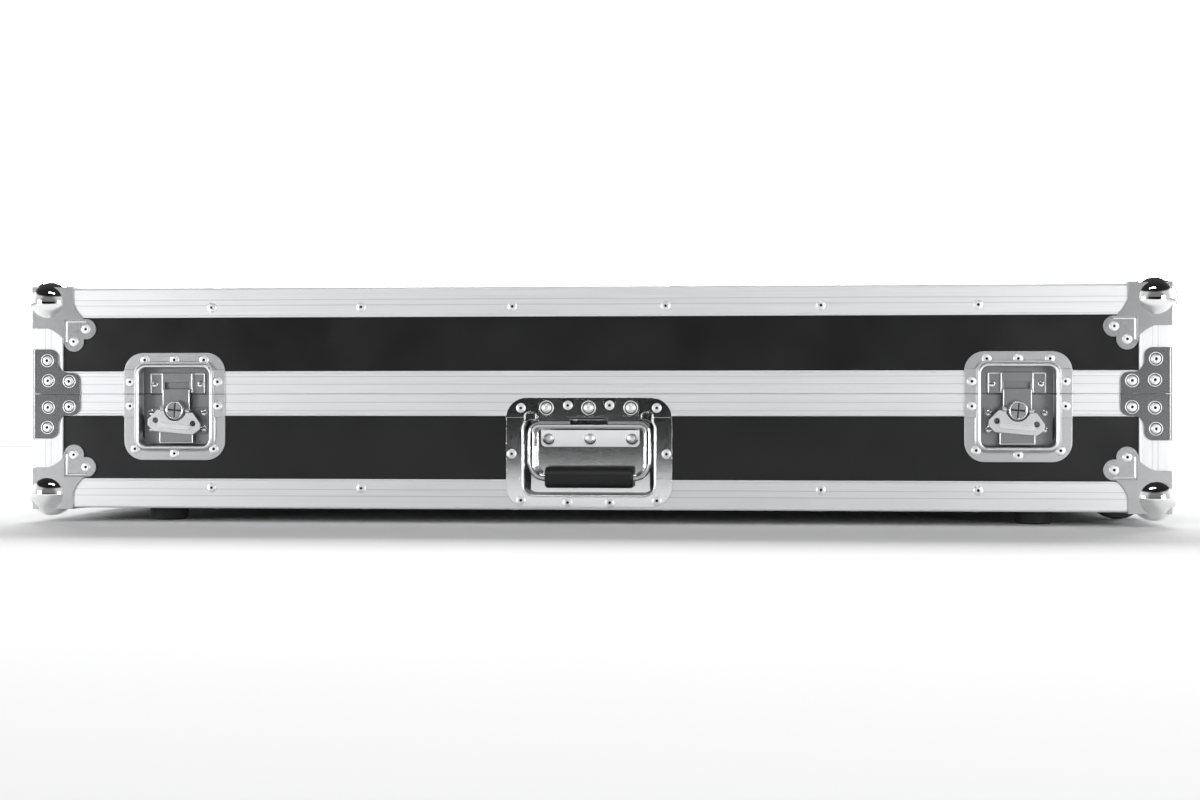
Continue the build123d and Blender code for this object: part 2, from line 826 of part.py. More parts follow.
def dish(face, bay, floor_level, size, raised, hoods=()):
    """A pressed dish: a cranked flange, a raised lip and a drawn pan. Raised lists the stretches of
    height where the flange steps out over the aluminium, and hoods are blocks that stand on it."""
    low, high, width, corner = size
    bay_low_z, bay_high_z, bay_width, bay_corner, draft = bay
    outer_pan = pan(face, bay, dish_t, dish_face, floor_level - dish_t)
    inner_pan = pan(face, bay, 0, 2 * lip_face, floor_level)
    with BuildPart() as piece:
        with BuildSketch(face) as flange:
            with Locations((0, (low + high) / 2)):
                RectangleRounded(width, high - low, corner)
        extrude(amount=dish_face)
        with BuildSketch(face.offset(dish_t)) as board_zone:
            with Locations((0, (low + high) / 2)):
                Rectangle(2 * width, 2 * (high - low))
            for zone_low, zone_high in raised:
                with Locations((0, (zone_low + zone_high) / 2)):
                    Rectangle(2 * width, zone_high - zone_low + 2 * (step_play + dish_t),
                              mode=Mode.SUBTRACT)
        extrude(amount=edge_t, mode=Mode.SUBTRACT)
        with BuildSketch(face) as lip:
            with Locations((0, (bay_low_z + bay_high_z) / 2)):
                RectangleRounded(bay_width + 2 * lip_width, bay_high_z - bay_low_z + 2 * lip_width,
                                 bay_corner + lip_width)
        extrude(amount=lip_face)
        with BuildSketch(face) as behind:
            for zone_low, zone_high in raised:
                with Locations((0, (zone_low + zone_high) / 2)):
                    Rectangle(2 * width, zone_high - zone_low + 2 * step_play)
        extrude(amount=edge_t, mode=Mode.SUBTRACT)
        add([outer_pan, *hoods])
        add(inner_pan, mode=Mode.SUBTRACT)
    return piece.part


def on_both_latches(piece):
    """A piece of the latch, placed at both latches."""
    with BuildPart() as copies:
        with Locations((-latch_x, 0, 0), (latch_x, 0, 0)):
            add(piece)
    return copies.part


latch_size = (seam - latch_below, seam + latch_above, latch_width, latch_corner)
latch_bay = (seam - latch_bay_below, seam + latch_bay_above, latch_bay_width, latch_bay_corner,
             latch_draft)
rims_zone = (base_seam - base_rim_face, lid_seam + lid_rim_face)
latch_dish = dish(front_face, latch_bay, latch_floor, latch_size, [rims_zone])
with BuildPart() as base_half:
    add(latch_dish)
    slab((-latch_width, -2 * half_y, base_seam), (latch_width, 0, 2 * lid_top), Mode.SUBTRACT)
with BuildPart() as lid_half:
    add(latch_dish)
    slab((-latch_width, -2 * half_y, 0), (latch_width, 0, lid_seam), Mode.SUBTRACT)
write(on_both_latches(base_half.part), "latch_base_dishes")
write(on_both_latches(lid_half.part), "latch_lid_dishes")

# Turn latches: a mount plate, an eccentric with its head, a hook plate and a folding wing


def plate(face, level, thickness, *points, rounds=()):
    """A flat plate with its back at the given level; rounds lists corners to round and their radii."""
    with BuildPart() as sheet:
        with BuildSketch(face.offset(level)) as shape:
            outline(*points)
            for place, radius in rounds:
                fillet(shape.vertices().sort_by_distance((*place, 0))[0], radius)
        extrude(amount=thickness)
    return sheet.part


def drill(face, level, depth, places, radius):
    """Round holes, from a level inward."""
    with BuildSketch(face.offset(level)) as holes:
        with Locations(*places):
            Circle(radius)
    extrude(holes.sketch, amount=-depth, mode=Mode.SUBTRACT)


mount_low = cam_z - mount_below_cam
mount_high = cam_z + mount_above_cam
mount_sheet = plate(front_face, latch_floor, mount_t, (-mount_half, mount_low), (mount_half, mount_low),
                    (mount_half, mount_high), (-mount_half, mount_high),
                    rounds=[((x, mount_low), mount_corner) for x in (-mount_half, mount_half)])
with BuildPart() as mount_plate:
    add(mount_sheet)
    drill(front_face, hook_back, hook_gap + mount_t, [(0, cam_z)], cam_shaft_r + cam_fit)
write(on_both_latches(mount_plate.part), "latch_mount_plates")

keeper_low = seam + keeper_bottom
keeper_high = seam + keeper_top
with BuildPart() as keeper:
    add(plate(front_face, latch_floor, keeper_t, (-keeper_tab_half, keeper_low),
              (keeper_tab_half, keeper_low), (keeper_tab_half, keeper_high),
              (-keeper_tab_half, keeper_high),
              rounds=[((x, keeper_high), keeper_corner) for x in (-keeper_tab_half, keeper_tab_half)]))
    add(plate(front_face, latch_floor, keeper_face - latch_floor, (-keeper_half, keeper_low),
              (keeper_half, keeper_low), (keeper_half, keeper_high), (-keeper_half, keeper_high)))
    with BuildSketch(front_face.offset(latch_floor)):
        with Locations((0, (keeper_low + keeper_high) / 2)):
            Rectangle(2 * (keeper_half - keeper_t), 2 * keeper_top)
    extrude(amount=keeper_face - latch_floor - keeper_t, mode=Mode.SUBTRACT)
    window_low = seam + keeper_bar_top
    window_high = seam + keeper_window_top
    with BuildSketch(front_face.offset(latch_floor)):
        with Locations((0, (window_low + window_high) / 2)):
            Rectangle(2 * (keeper_half - 2 * keeper_t), window_high - window_low)
    extrude(amount=keeper_face - latch_floor, mode=Mode.SUBTRACT)
write(on_both_latches(keeper.part), "latch_keepers")

slot_half = cam_r + cam_play
slot_reach = slot_half + cam_throw
hook_sheet = plate(front_face, hook_back, hook_t, (-hook_foot_half, seam + hook_foot_low),
                   (hook_foot_half, seam + hook_foot_low), (hook_foot_half, seam + hook_foot_top),
                   (hook_half, seam + hook_foot_top), (hook_half, seam + hook_top),
                   (-hook_half, seam + hook_top), (-hook_half, seam + hook_foot_top),
                   (-hook_foot_half, seam + hook_foot_top),
                   rounds=[((x, seam + hook_top), hook_foot_r) for x in (-hook_half, hook_half)])
hook_lip_block = plate(front_face, hook_back - hook_lip, hook_lip,
                       (-hook_half + hook_foot_r, seam + hook_top - hook_lip_t),
                       (hook_half - hook_foot_r, seam + hook_top - hook_lip_t),
                       (hook_half - hook_foot_r, seam + hook_top),
                       (-hook_half + hook_foot_r, seam + hook_top))
with BuildPart() as hook:
    add(hook_sheet)
    add(hook_lip_block)
    with BuildSketch(front_face.offset(hook_face)) as slot:
        with Locations((0, cam_z - cam_throw)):
            SlotOverall(2 * slot_reach, 2 * slot_half)
    extrude(amount=-hook_t, mode=Mode.SUBTRACT)


def disc(face, level, thickness, place, radius):
    """A round disc standing on a level."""
    with BuildSketch(face.offset(level)) as round_face:
        with Locations(place):
            Circle(radius)
    extrude(round_face.sketch, amount=thickness)


pin_level = (wing_back + wing_face) / 2
pin_plane = Plane(origin=(0, -board_y - pin_level, cam_z), x_dir=(0, 1, 0), z_dir=(1, 0, 0))
cam_axis = Axis((0, 0, cam_z), (0, 1, 0))
with BuildPart() as cam_head:
    disc(front_face, hook_face + stack_play, wing_back - hook_face - stack_play, (0, cam_z), collar_r)
    disc(front_face, wing_back, head_face - wing_back, (0, cam_z), head_r)
    with BuildSketch(front_face.offset(head_face)):
        with Locations((0, cam_z)):
            Rectangle(2 * head_slot_r, head_slot_w)
            Rectangle(head_slot_w, 2 * head_slot_r)
    extrude(amount=-head_slot_depth, mode=Mode.SUBTRACT)
    with BuildSketch(pin_plane):
        Circle(wing_pin_r)
    extrude(amount=wing_pin_half, both=True)

with BuildPart() as cam:
    disc(front_face, latch_floor + stack_play, hook_back - latch_floor - 2 * stack_play, (0, cam_z),
         cam_shaft_r)
    disc(front_face, hook_back - stack_play, hook_t + 2 * stack_play, (0, cam_z - cam_throw), cam_r)
    add(cam_head.part.rotate(cam_axis, rest_turn))


def hang(u, w):
    """A point of the wing: u to the right of the cam's axis and w below it."""
    return (u, cam_z - w)


knuckle_inner = wing_notch_r + wing_side_play
wing_sheet = plate(front_face, wing_back, wing_t,
                   hang(-wing_shoulder, -wing_top), hang(-wing_half, wing_cheek),
                   hang(-wing_half, wing_cheek_low), hang(-wing_foot_half, wing_low),
                   hang(wing_foot_half, wing_low), hang(wing_half, wing_cheek_low),
                   hang(wing_half, wing_cheek), hang(wing_shoulder, -wing_top))
with BuildPart() as wing:
    add(wing_sheet)
    with BuildSketch(pin_plane):
        Circle(wing_knuckle_r)
    extrude(amount=wing_pin_half, both=True)
    with BuildSketch(front_face.offset(wing_back - wing_knuckle_r)):
        with Locations((0, cam_z)):
            Circle(knuckle_inner)
            Rectangle(2 * knuckle_inner, 4 * wing_top)
    extrude(amount=3 * wing_knuckle_r, mode=Mode.SUBTRACT)
    with BuildSketch(pin_plane):
        Circle(wing_pin_r + wing_pin_fit)
    extrude(amount=2 * wing_pin_half, both=True, mode=Mode.SUBTRACT)
    drill(front_face, wing_face, wing_t, [hang(-wing_hole_u, wing_hole_w), hang(wing_hole_u, wing_hole_w)],
          wing_hole_r)

tilted_wing = wing.part.rotate(cam_axis, rest_turn)
for side, x in (("left", -latch_x), ("right", latch_x)):
    for piece, label in ((hook.part, "hook"), (cam.part, "cam"), (tilted_wing, "wing")):
        write(Pos(x, 0, 0) * piece, f"{side}_latch_{label}")

# Sprung handles

handle_bottom = base_bottom + handle_low
handle_top = base_bottom + handle_high
handle_bay = (base_bottom + handle_bay_low, base_bottom + handle_bay_high, handle_bay_width,
              handle_bay_corner, handle_draft)
handle_floor = dish_face - handle_bay_depth
handle_zones = [(0, base_bottom + edge_leg), (base_seam - base_rim_face, seam)]
pivot_level = dish_face - pivot_sink
strap_t = dish_t
spring_r = bail_r + bail_fit - spring_bore_play - spring_wire_r


def handle_hood(face, u):
    """The hood pressed out of the flange over the bend of a bail's arm."""
    low = base_bottom + handle_bay_high - hood_corner
    high = base_bottom + hood_high
    with BuildPart() as hood:
        with BuildSketch(face.offset(dish_face - dish_t)) as arch:
            outline((u - hood_half, low), (u + hood_half, low), (u + hood_half, high), (u - hood_half, high))
            top = [arch.vertices().sort_by_distance((u + side * hood_half, high, 0))[0] for side in (-1, 1)]
            fillet(top, hood_corner)
        extrude(amount=dish_t + hood_rise)
        chamfer(hood.faces().sort_by(Axis(face.origin, face.z_dir))[-1].edges(), hood_chamfer)
    return hood.part


def spring_path():
    """A helix about the Z axis, drawn as pairs of tangent arcs, each pair half a turn."""
    climb = spring_pitch / (2 * pi)
    middle = spring_pitch * spring_turns / 2
    stations = []
    for step in range(2 * spring_turns + 1):
        angle = pi * step
        place = Vector(spring_r * cos(angle), spring_r * sin(angle), climb * angle - middle)
        heading = Vector(-spring_r * sin(angle), spring_r * cos(angle), climb).normalized()
        stations.append((place, heading))
    with BuildLine() as path:
        for (start, leave), (end, arrive) in zip(stations, stations[1:]):
            chord = end - start
            lead = chord.dot(leave + arrive)
            bend = 2 * (1 - leave.dot(arrive))
            reach = (sqrt(lead ** 2 + bend * chord.dot(chord)) - lead) / bend
            joint = (start + end + (leave - arrive) * reach) * 0.5
            TangentArc(start, joint, tangent=leave)
            TangentArc(end, joint, tangent=arrive * -1)
    return path.wire()


def sweep_along(path, radius, sides=0):
    """A rod along a path, round or with the given number of sides."""
    with BuildPart() as rod:
        with BuildSketch(Plane(origin=path @ 0, z_dir=path % 0)) as section:
            if sides:
                RegularPolygon(radius, sides)
            else:
                Circle(radius)
        sweep(section.sketch, path=path)
    return rod.part


def pivot_frame(face):
    """The plane across a handle's pin at its middle: x runs outward and y is up."""
    return Plane(origin=face.from_local_coords((0, pivot_z, pivot_level)), x_dir=face.z_dir,
                 z_dir=face.x_dir * -1)


def section_box(low, high):
    """A rectangle between two opposite corners."""
    with Locations(((low[0] + high[0]) / 2, (low[1] + high[1]) / 2)):
        Rectangle(high[0] - low[0], high[1] - low[1])


def handle_bracket(face):
    """One sheet: a strap on the flange, a web over the lip, a barrel round the pin and a tab below."""
    strap_low_z = base_bottom + strap_low
    strap_high_z = base_bottom + strap_high
    ends = (-barrel_half, barrel_half)
    strap = plate(face, dish_face, strap_t, (-barrel_half, strap_low_z), (barrel_half, strap_low_z),
                  (barrel_half, strap_high_z), (-barrel_half, strap_high_z),
                  rounds=[((x, strap_high_z), tab_corner) for x in ends])
    tab_low_z = base_bottom + tab_low
    tab_high_z = pivot_z - barrel_r + strap_t
    tab = plate(face, handle_floor, strap_t, (-barrel_half, tab_low_z), (barrel_half, tab_low_z),
                (barrel_half, tab_high_z), (-barrel_half, tab_high_z),
                rounds=[((x, tab_low_z), tab_corner) for x in ends])
    flange_out = dish_face - pivot_level
    web_in = lip_face + lip_play - pivot_level
    web_out = web_in + strap_t
    strap_rise = strap_low_z - pivot_z
    with BuildPart() as bracket:
        add(strap)
        add(tab)
        with BuildSketch(face.offset(dish_face + strap_t)):
            with Locations((-strap_notch_u, base_bottom + strap_notch_high),
                           (strap_notch_u, base_bottom + strap_notch_high)):
                Circle(strap_notch_r)
                Rectangle(2 * strap_notch_r, 2 * strap_notch_r, align=(Align.CENTER, Align.MIN))
        extrude(amount=-strap_t, mode=Mode.SUBTRACT)
        with BuildSketch(pivot_frame(face)):
            Circle(barrel_r)
            section_box((0, barrel_r - strap_t), (web_out, barrel_r))
            section_box((web_in, barrel_r - strap_t), (web_out, strap_rise + strap_t))
            section_box((flange_out, strap_rise), (web_out, strap_rise + strap_t))
            section_box((handle_floor - pivot_level, -barrel_r), (0, strap_t - barrel_r))
        extrude(amount=barrel_half, both=True)
        with BuildSketch(pivot_frame(face)):
            Circle(bail_r + bail_fit)
        extrude(amount=barrel_half, both=True, mode=Mode.SUBTRACT)
        with BuildSketch(pivot_frame(face)):
            section_box((-2 * barrel_r, barrel_window_low), (2 * web_out, strap_rise))
        extrude(amount=barrel_window_half, both=True, mode=Mode.SUBTRACT)
    return bracket.part


def handle_bail(face):
    """The bent rod: two short pins turned in to the barrel, two arms and a cross bar."""
    across_face = Plane(origin=face.from_local_coords((0, pivot_z, pivot_level)), x_dir=face.x_dir,
                        z_dir=face.z_dir)
    ear = bail_ear
    foot = bail_half - bail_bend
    pin_end = barrel_half - bail_pin_length
    with BuildLine(across_face) as path:
        Line((-pin_end, 0), (-ear, 0))
        CenterArc((-ear, -bail_ear_bend), bail_ear_bend, 90, 90)
        Line((-bail_half, -bail_ear_bend), (-bail_half, bail_bend - bail_drop))
        CenterArc((-foot, bail_bend - bail_drop), bail_bend, 180, 90)
        Line((-foot, -bail_drop), (foot, -bail_drop))
        CenterArc((foot, bail_bend - bail_drop), bail_bend, 270, 90)
        Line((bail_half, bail_bend - bail_drop), (bail_half, -bail_ear_bend))
        CenterArc((ear, -bail_ear_bend), bail_ear_bend, 0, 90)
        Line((ear, 0), (pin_end, 0))
    return sweep_along(path.wire(), bail_r)


def handle_grip(face):
    """The moulded grip on the cross bar."""
    grip_half = bail_half - bail_bend - grip_end_play
    with BuildPart() as grip:
        with BuildSketch(pivot_frame(face)):
            with Locations((0, -bail_drop)):
                Circle(grip_r)
        extrude(amount=grip_half, both=True)
        chamfer(grip.edges().filter_by(GeomType.CIRCLE), grip_chamfer)
        with BuildSketch(pivot_frame(face)):
            with Locations((0, -bail_drop)):
                Circle(bail_r + grip_fit)
        extrude(amount=grip_half, both=True, mode=Mode.SUBTRACT)
    return grip.part


handle_size = (handle_bottom, handle_top, handle_width, handle_corner)
handle_walls = (("front", front_face), ("left", left_face))
dishes = [dish(face, handle_bay, handle_floor, handle_size, handle_zones,
               [handle_hood(face, u) for u in (-bail_half, bail_half)]) for _, face in handle_walls]
write(together(dishes), "handle_dishes")
write(together([handle_bracket(face) for _, face in handle_walls]), "handle_brackets")
spring = sweep_along(spring_path(), spring_wire_r, spring_wire_sides)
write(together([pivot_frame(face).location * spring for _, face in handle_walls]), "handle_springs")
for side, face in handle_walls:
    write(handle_bail(face), f"{side}_handle_bail")
    write(handle_grip(face), f"{side}_handle_grip")

# Hinges on the back

pivot_y = half_y + knuckle_r + knuckle_gap
knuckle_end = hinge_width / 6
hinge_line = Plane(origin=(0, pivot_y, seam), x_dir=(0, 1, 0), z_dir=(1, 0, 0))


def hinge_leaf(up, spans):
    """A leaf from the pin up (1) or down (-1), with knuckles over the given stretches of the pin."""
    far = up * leaf_reach
    near = up * (knuckle_r + knuckle_gap)
    bore = pin_r + (pin_fit if up > 0 else 0)
    with BuildPart() as leaf:
        low, high = sorted((near, far))
        slab((-hinge_width / 2, half_y, seam + low), (hinge_width / 2, half_y + leaf_t, seam + high))
        for start, end in spans:
            low, high = sorted((0, far))
            slab((start, half_y, seam + low), (end, half_y + leaf_t, seam + high))
            with BuildSketch(hinge_line.offset(start)):
                Circle(knuckle_r)
            extrude(amount=end - start)
        with BuildSketch(hinge_line):
            Circle(bore)
        extrude(amount=hinge_width, both=True, mode=Mode.SUBTRACT)
    return leaf.part


def on_all_hinges(piece):
    """A piece of the hinge, placed at every hinge."""
    with BuildPart() as copies:
        with Locations((-hinge_x, 0, 0), (0, 0, 0), (hinge_x, 0, 0)):
            add(piece)
    return copies.part


outer_spans = [(-hinge_width / 2, -knuckle_end - knuckle_gap), (knuckle_end + knuckle_gap, hinge_width / 2)]
write(on_all_hinges(hinge_leaf(-1, outer_spans)), "hinge_base_leaves")
write(on_all_hinges(hinge_leaf(1, [(-knuckle_end, knuckle_end)])), "hinge_lid_leaves")

with BuildPart() as hinge_pin:
    with BuildSketch(hinge_line):
        Circle(pin_r)
    extrude(amount=hinge_width / 2, both=True)
write(on_all_hinges(hinge_pin.part), "hinge_pins")

# The least gap between turns of a spring, measured on points along its path

samples_per_turn = 60
count = samples_per_turn * spring_turns
coil = spring_path()
samples = [tuple(coil @ (step / count)) for step in range(count + 1)]
least = min(dist(first, second) for index, first in enumerate(samples)
            for second in samples[index + samples_per_turn // 2:])
print(f"least gap between the turns of a spring: {least - 2 * spring_wire_r:.2f} mm")
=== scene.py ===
"""Finishes for a road case made for a synthesizer: film-faced plywood in aluminium angle, nickel ball
corners, zinc latches and handles, rivets, foam lining, rubber feet, and a plain studio to see it in."""

from math import cos, pi, radians, sin

import bmesh
import bpy
from mathutils import Matrix, Vector


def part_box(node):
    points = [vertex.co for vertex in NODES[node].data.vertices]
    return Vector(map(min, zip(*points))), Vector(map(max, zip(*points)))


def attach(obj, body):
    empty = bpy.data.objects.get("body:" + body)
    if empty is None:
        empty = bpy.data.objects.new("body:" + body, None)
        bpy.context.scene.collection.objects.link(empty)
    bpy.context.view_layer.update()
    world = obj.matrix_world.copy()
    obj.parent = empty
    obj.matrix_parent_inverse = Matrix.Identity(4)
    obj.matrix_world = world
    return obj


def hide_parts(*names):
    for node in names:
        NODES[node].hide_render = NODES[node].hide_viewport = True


bl_info = {
    "name": "Synthesizer Road Case",
    "version": (1, 0, 0),
    "blender": (4, 5, 0),
    "location": "3D View > Sidebar > Road Case",
    "description": "Dresses a road case with its rivets, beads, lining and finishes",
    "category": "Add Mesh",
}

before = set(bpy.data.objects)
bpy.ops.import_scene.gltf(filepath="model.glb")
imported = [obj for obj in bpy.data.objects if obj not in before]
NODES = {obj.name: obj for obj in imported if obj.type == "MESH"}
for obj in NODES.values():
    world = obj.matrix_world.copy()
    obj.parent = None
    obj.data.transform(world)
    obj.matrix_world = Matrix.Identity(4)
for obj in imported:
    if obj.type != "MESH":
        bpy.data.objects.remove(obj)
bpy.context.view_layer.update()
MM = 0.001

# Main faces of the case, read from the frame
BOARD_X, BOARD_Y, BOARD_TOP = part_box("lid_top_panel")[1]
BOARD_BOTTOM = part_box("base_floor_panel")[0][2]
EDGE_LOW, EDGE_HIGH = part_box("lid_front_edge")
HALF_X, HALF_Y, CASE_TOP = EDGE_HIGH[0], -EDGE_LOW[1], EDGE_HIGH[2]
EDGE_LEG = EDGE_HIGH[2] - EDGE_LOW[2]
CASE_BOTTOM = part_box("base_front_edge")[0][2]
LID_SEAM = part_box("latch_lid_dishes")[0][2]
BASE_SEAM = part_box("latch_base_dishes")[1][2]
SEAM = (LID_SEAM + BASE_SEAM) / 2
LID_RIM_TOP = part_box("lid_front_rim")[1][2]
BASE_RIM_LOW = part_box("base_front_rim")[0][2]
RAISE = HALF_Y - BOARD_Y
LATCH_X = (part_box("right_latch_hook")[0][0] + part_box("right_latch_hook")[1][0]) / 2
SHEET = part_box("lid_corner_braces")[1][0] - HALF_X

# The four sides, and how far it is from the middle of each to its corners
SIDES = (("front", HALF_X), ("rear", HALF_X), ("left", HALF_Y), ("right", HALF_Y))

# Die grooves: from the angle's outer corner, down from each rim's and the lower angle's top
EDGE_GROOVES = (12.6 * MM, 18.3 * MM)
LID_RIM_GROOVES = (5.8 * MM, 13.7 * MM)
BASE_RIM_GROOVES = (8.4 * MM, 17.0 * MM)
LOW_EDGE_GROOVES = (11.0 * MM, 17.8 * MM)

# Half the room that beads leave for a handle and a latch, rivets for a handle, and beads for the wheels
HANDLE_REACH = 86 * MM
LATCH_REACH = 54 * MM
HANDLE_ROOM = 90 * MM
WHEEL_GAPS = [(-110 * MM, -50 * MM), (50 * MM, 110 * MM)]

# Ball corners: the balls, the skin where they stay buried, and the sloped step in their plates
BALL_RADIUS = 23.08 * MM
BALL_INSET = 14.0 * MM
BALL_SKIN = 0.8 * MM
STEP_START, STEP_END = 34.7 * MM, 56.0 * MM
STEP_WIDTH, STEP_HEIGHT = 2.0 * MM, 0.7 * MM

# Latch and handle dishes: sheet, rolled lips, and how far the levels inside lie above the boards. The
# border of a lip is its foot, its top, half its width and its corner radius
DISH_SHEET = 1.2 * MM
LIP_LEVEL = RAISE + 1.9 * MM
LIP_RISE = 0.8 * MM
LATCH_LIP, LATCH_APRON, HANDLE_LIP = 2.8 * MM, 3.0 * MM, 1.8 * MM
LATCH_BORDER = (SEAM - 55.8 * MM, SEAM + 29.4 * MM, 39.0 * MM, 9.0 * MM)
HANDLE_BORDER = (CASE_BOTTOM + 14.3 * MM, CASE_BOTTOM + 94.2 * MM, 68.2 * MM, 11.2 * MM)
STRAP_LOW = CASE_BOTTOM + 90 * MM
# How far the painted edge highlights on the keepers and hooks stand proud
HIGHLIGHT_RISE = 0.3 * MM
LATCH_FLOOR = RAISE + (1.2 - 14) * MM
KEEPER_LEVEL = LATCH_FLOOR + 1.4 * MM
MOUNT_LEVEL = LATCH_FLOOR + 1.5 * MM
TAB_LEVEL = RAISE + (1.2 - 21.5 + 1.2) * MM
TAB_HALF, TAB_CORNER = 51.3 * MM, 5 * MM
TAB_LOW, TAB_HIGH = CASE_BOTTOM + 64.4 * MM, CASE_BOTTOM + 82.6 * MM
SPINDLE_DROP = 10.4 * MM
REST_TURN = 5

# Rivet shapes in millimetres, radius and height above the sheet, with the material of each band
# A band with material 1 takes painted shadow, in a rivet's bore and in the groove round its head
TUBE_RIVET = ([(5.0, -0.2), (5.0, 0.25), (4.75, 0.6), (4.0, 1.0), (3.0, 1.25), (2.0, 1.35), (1.5, 1.25),
               (1.4, 0.8), (1.35, 0.2), (0, 0.2)], [0, 0, 0, 0, 0, 0, 0, 1, 1])
DIMPLED_RIVET = ([(7.0, -0.1), (6.6, 0.45), (6.0, 0.4), (5.7, 0.1), (5.1, 0.05), (4.9, 0.6), (4.3, 1.1),
                  (3.4, 1.4), (2.4, 1.6), (1.7, 1.55), (1.45, 1.35), (1.35, 0.5), (0, 0.5)],
                 [0, 0, 1, 1, 0, 0, 0, 0, 0, 0, 1, 1])
BIG_RIVET = ([(7.6, -0.1), (7.2, 0.5), (6.5, 0.4), (5.8, -0.05), (5.2, 0.0), (4.6, 0.9), (3.8, 1.6),
              (2.6, 2.1), (1.2, 2.3), (0, 2.35)], [0, 0, 1, 1, 0, 0, 0, 0, 0])
SMALL_RIVET = ([(3.7, -0.1), (3.6, 0.4), (3.1, 1.0), (2.2, 1.3), (1.1, 1.45), (0, 1.5)], None)
HEAD_RING = [(9.25, -0.9), (9.3, 0.1), (8.9, 0.35), (8.2, 0.3), (7.9, 0.0)]

# Rivet and screw places in millimetres. A last True means on the aluminium, not down on the boards
END_ROW = 105
WHEEL_ROW = 135
LOBE_SPOTS = ((55.6, 42.6), (42.6, 55.6))
BRACE_SPOTS = ((15.7, 13.7), (38.2, 13.0), (14.7, 34.8))
LATCH_SPOTS = {"lid": ((-31.5, 35.6, False), (0, 35.6, False), (31.5, 35.6, False), (-46.6, 12.6, True),
                       (46.6, 12.6, True)),
               "base": ((-46.6, -12.6, True), (46.6, -12.6, True), (-42, -57.4, False), (42, -57.4, False),
                        (0, -62.2, False))}
HANDLE_SPOTS = ((21.5, 107.5, True), (70.0, 104.8, True), (79.8, 57.5, False), (70.0, 9.8, True),
                (21.7, 7.6, True))
BRACKET_ROW = (-43.4, 0, 43.4)
STRAP_RIVETS, TAB_RIVETS = 105.0, 73.6
KEEPER_SCREWS = ((-24.6, 10.2), (24.6, 10.2))
MOUNT_SCREWS = ((-28, -19.5), (-28, -36), (28, -19.5), (28, -36))
SLOT_CORNERS = ((-3.0, -0.5), (3.0, -0.5), (3.0, 0.5), (-3.0, 0.5))
SLOT_LEVEL = 1.52 * MM
HINGES, HINGE_ROW, HINGE_RISE = (-390, 0, 390), (-22, 0, 22), 12.2

# Plated steel: pale and dark tone, roughness, wave of the press and rounding of its edges in millimetres
PLATED = {
    # Corner hardware: dull grey braces, paler corner plates with bright steps (a painted highlight), mirror
    # balls
    "zinc_plated_braces": ("#8f9092", "#7b7c7e", (0.24, 0.36), 0.05, 0.8),
    "zinc_plated_corners": ("#cbccce", "#b9babc", (0.26, 0.38), 0.05, 0.5),
    "bright_nickel_balls": ("#f0f0f0", "#e2e2e3", (0.015, 0.03), 0.0, 0.2),
    "bright_corner_steps": ("#fbfbfb", "#f0f0f0", (0.35, 0.45), 0.0, 0.2),
    # Rivets: plated metal, nearly white and soft as a painted highlight, so that they stand out on every
    # sheet
    "zinc_plated_rivets": ("#fdfdfd", "#f2f2f3", (0.42, 0.52), 0.0, 0.2),
    # Latches: a satin dish with a bright rolled lip (a painted highlight), greyer works, a tumbled pale
    # wing
    # The dish's sixth colour is painted shade deep in its pan
    "nickel_plated_dish": ("#d9dadc", "#cccdcf", (0.34, 0.44), 0.04, 0.8, "#97989a"),
    "rolled_dish_lip": ("#fbfbfb", "#f0f0f0", (0.32, 0.42), 0.0, 0.2),
    "zinc_plated_mount": ("#a0a1a3", "#88898b", (0.30, 0.42), 0.05, 0.8),
    "zinc_plated_hook": ("#a9aaac", "#919294", (0.30, 0.42), 0.03, 0.9),
    "zinc_plated_keeper": ("#b4b5b7", "#9c9d9f", (0.28, 0.40), 0.03, 0.9),
    "turned_spindle": ("#a6a7a9", "#8c8d8f", (0.42, 0.52), 0.05, 0.8),
    "tumbled_wing": ("#e6e7e8", "#c3c4c6", (0.40, 0.52), 0.0, 0.9),
    "bright_latch_trim": ("#f6f6f6", "#e8e8e9", (0.18, 0.28), 0.0, 0.3),
    # Handles: a dish and bracket that mirror the room, a bright rod, a darker coil, a lip of painted
    # highlight
    "nickel_plated_handle_dish": ("#e6e7e8", "#d9dadb", (0.08, 0.14), 0.02, 0.35),
    "nickel_plated_bracket": ("#e6e7e8", "#d9dadb", (0.10, 0.16), 0.02, 0.12),
    "nickel_plated_rod": ("#ececec", "#dfe0e0", (0.05, 0.09), 0.0, 0.2),
    "spring_steel_wire": ("#6e6f71", "#58595b", (0.2, 0.3), 0.0, 0.2),
    "rolled_handle_lip": ("#fbfbfb", "#f0f0f0", (0.32, 0.42), 0.0, 0.2),
    # Wheel wells and hinges: plain zinc, slightly waved
    "zinc_plated_well": ("#c4c5c7", "#acadaf", (0.22, 0.34), 0.06, 0.5),
    "zinc_plated_hinge": ("#9a9b9d", "#828385", (0.28, 0.40), 0.06, 0.5),
}

# Moulded rubber and nylon: dark and pale tone, lowest and highest roughness, grain in millimetres
MOULDED = {
    # The first two are no rubber: flat black for painted shadow in rivet bores, head grooves and slots
    "rivet_bore_shadow": ("#0a0a0a", "#121212", 0.6, 0.8, 0.5),
    "slot_shadow": ("#0b0b0c", "#141415", 0.6, 0.8, 0.5),
    "moulded_grip_rubber": ("#050506", "#0a0a0b", 0.42, 0.54, 0.9),
    "moulded_foot_rubber": ("#101011", "#19191a", 0.6, 0.8, 1.2),
    "wheel_tread_rubber": ("#151516", "#202021", 0.5, 0.7, 1.2),
    "moulded_wheel_nylon": ("#252628", "#313234", 0.4, 0.55, 1.0),
}

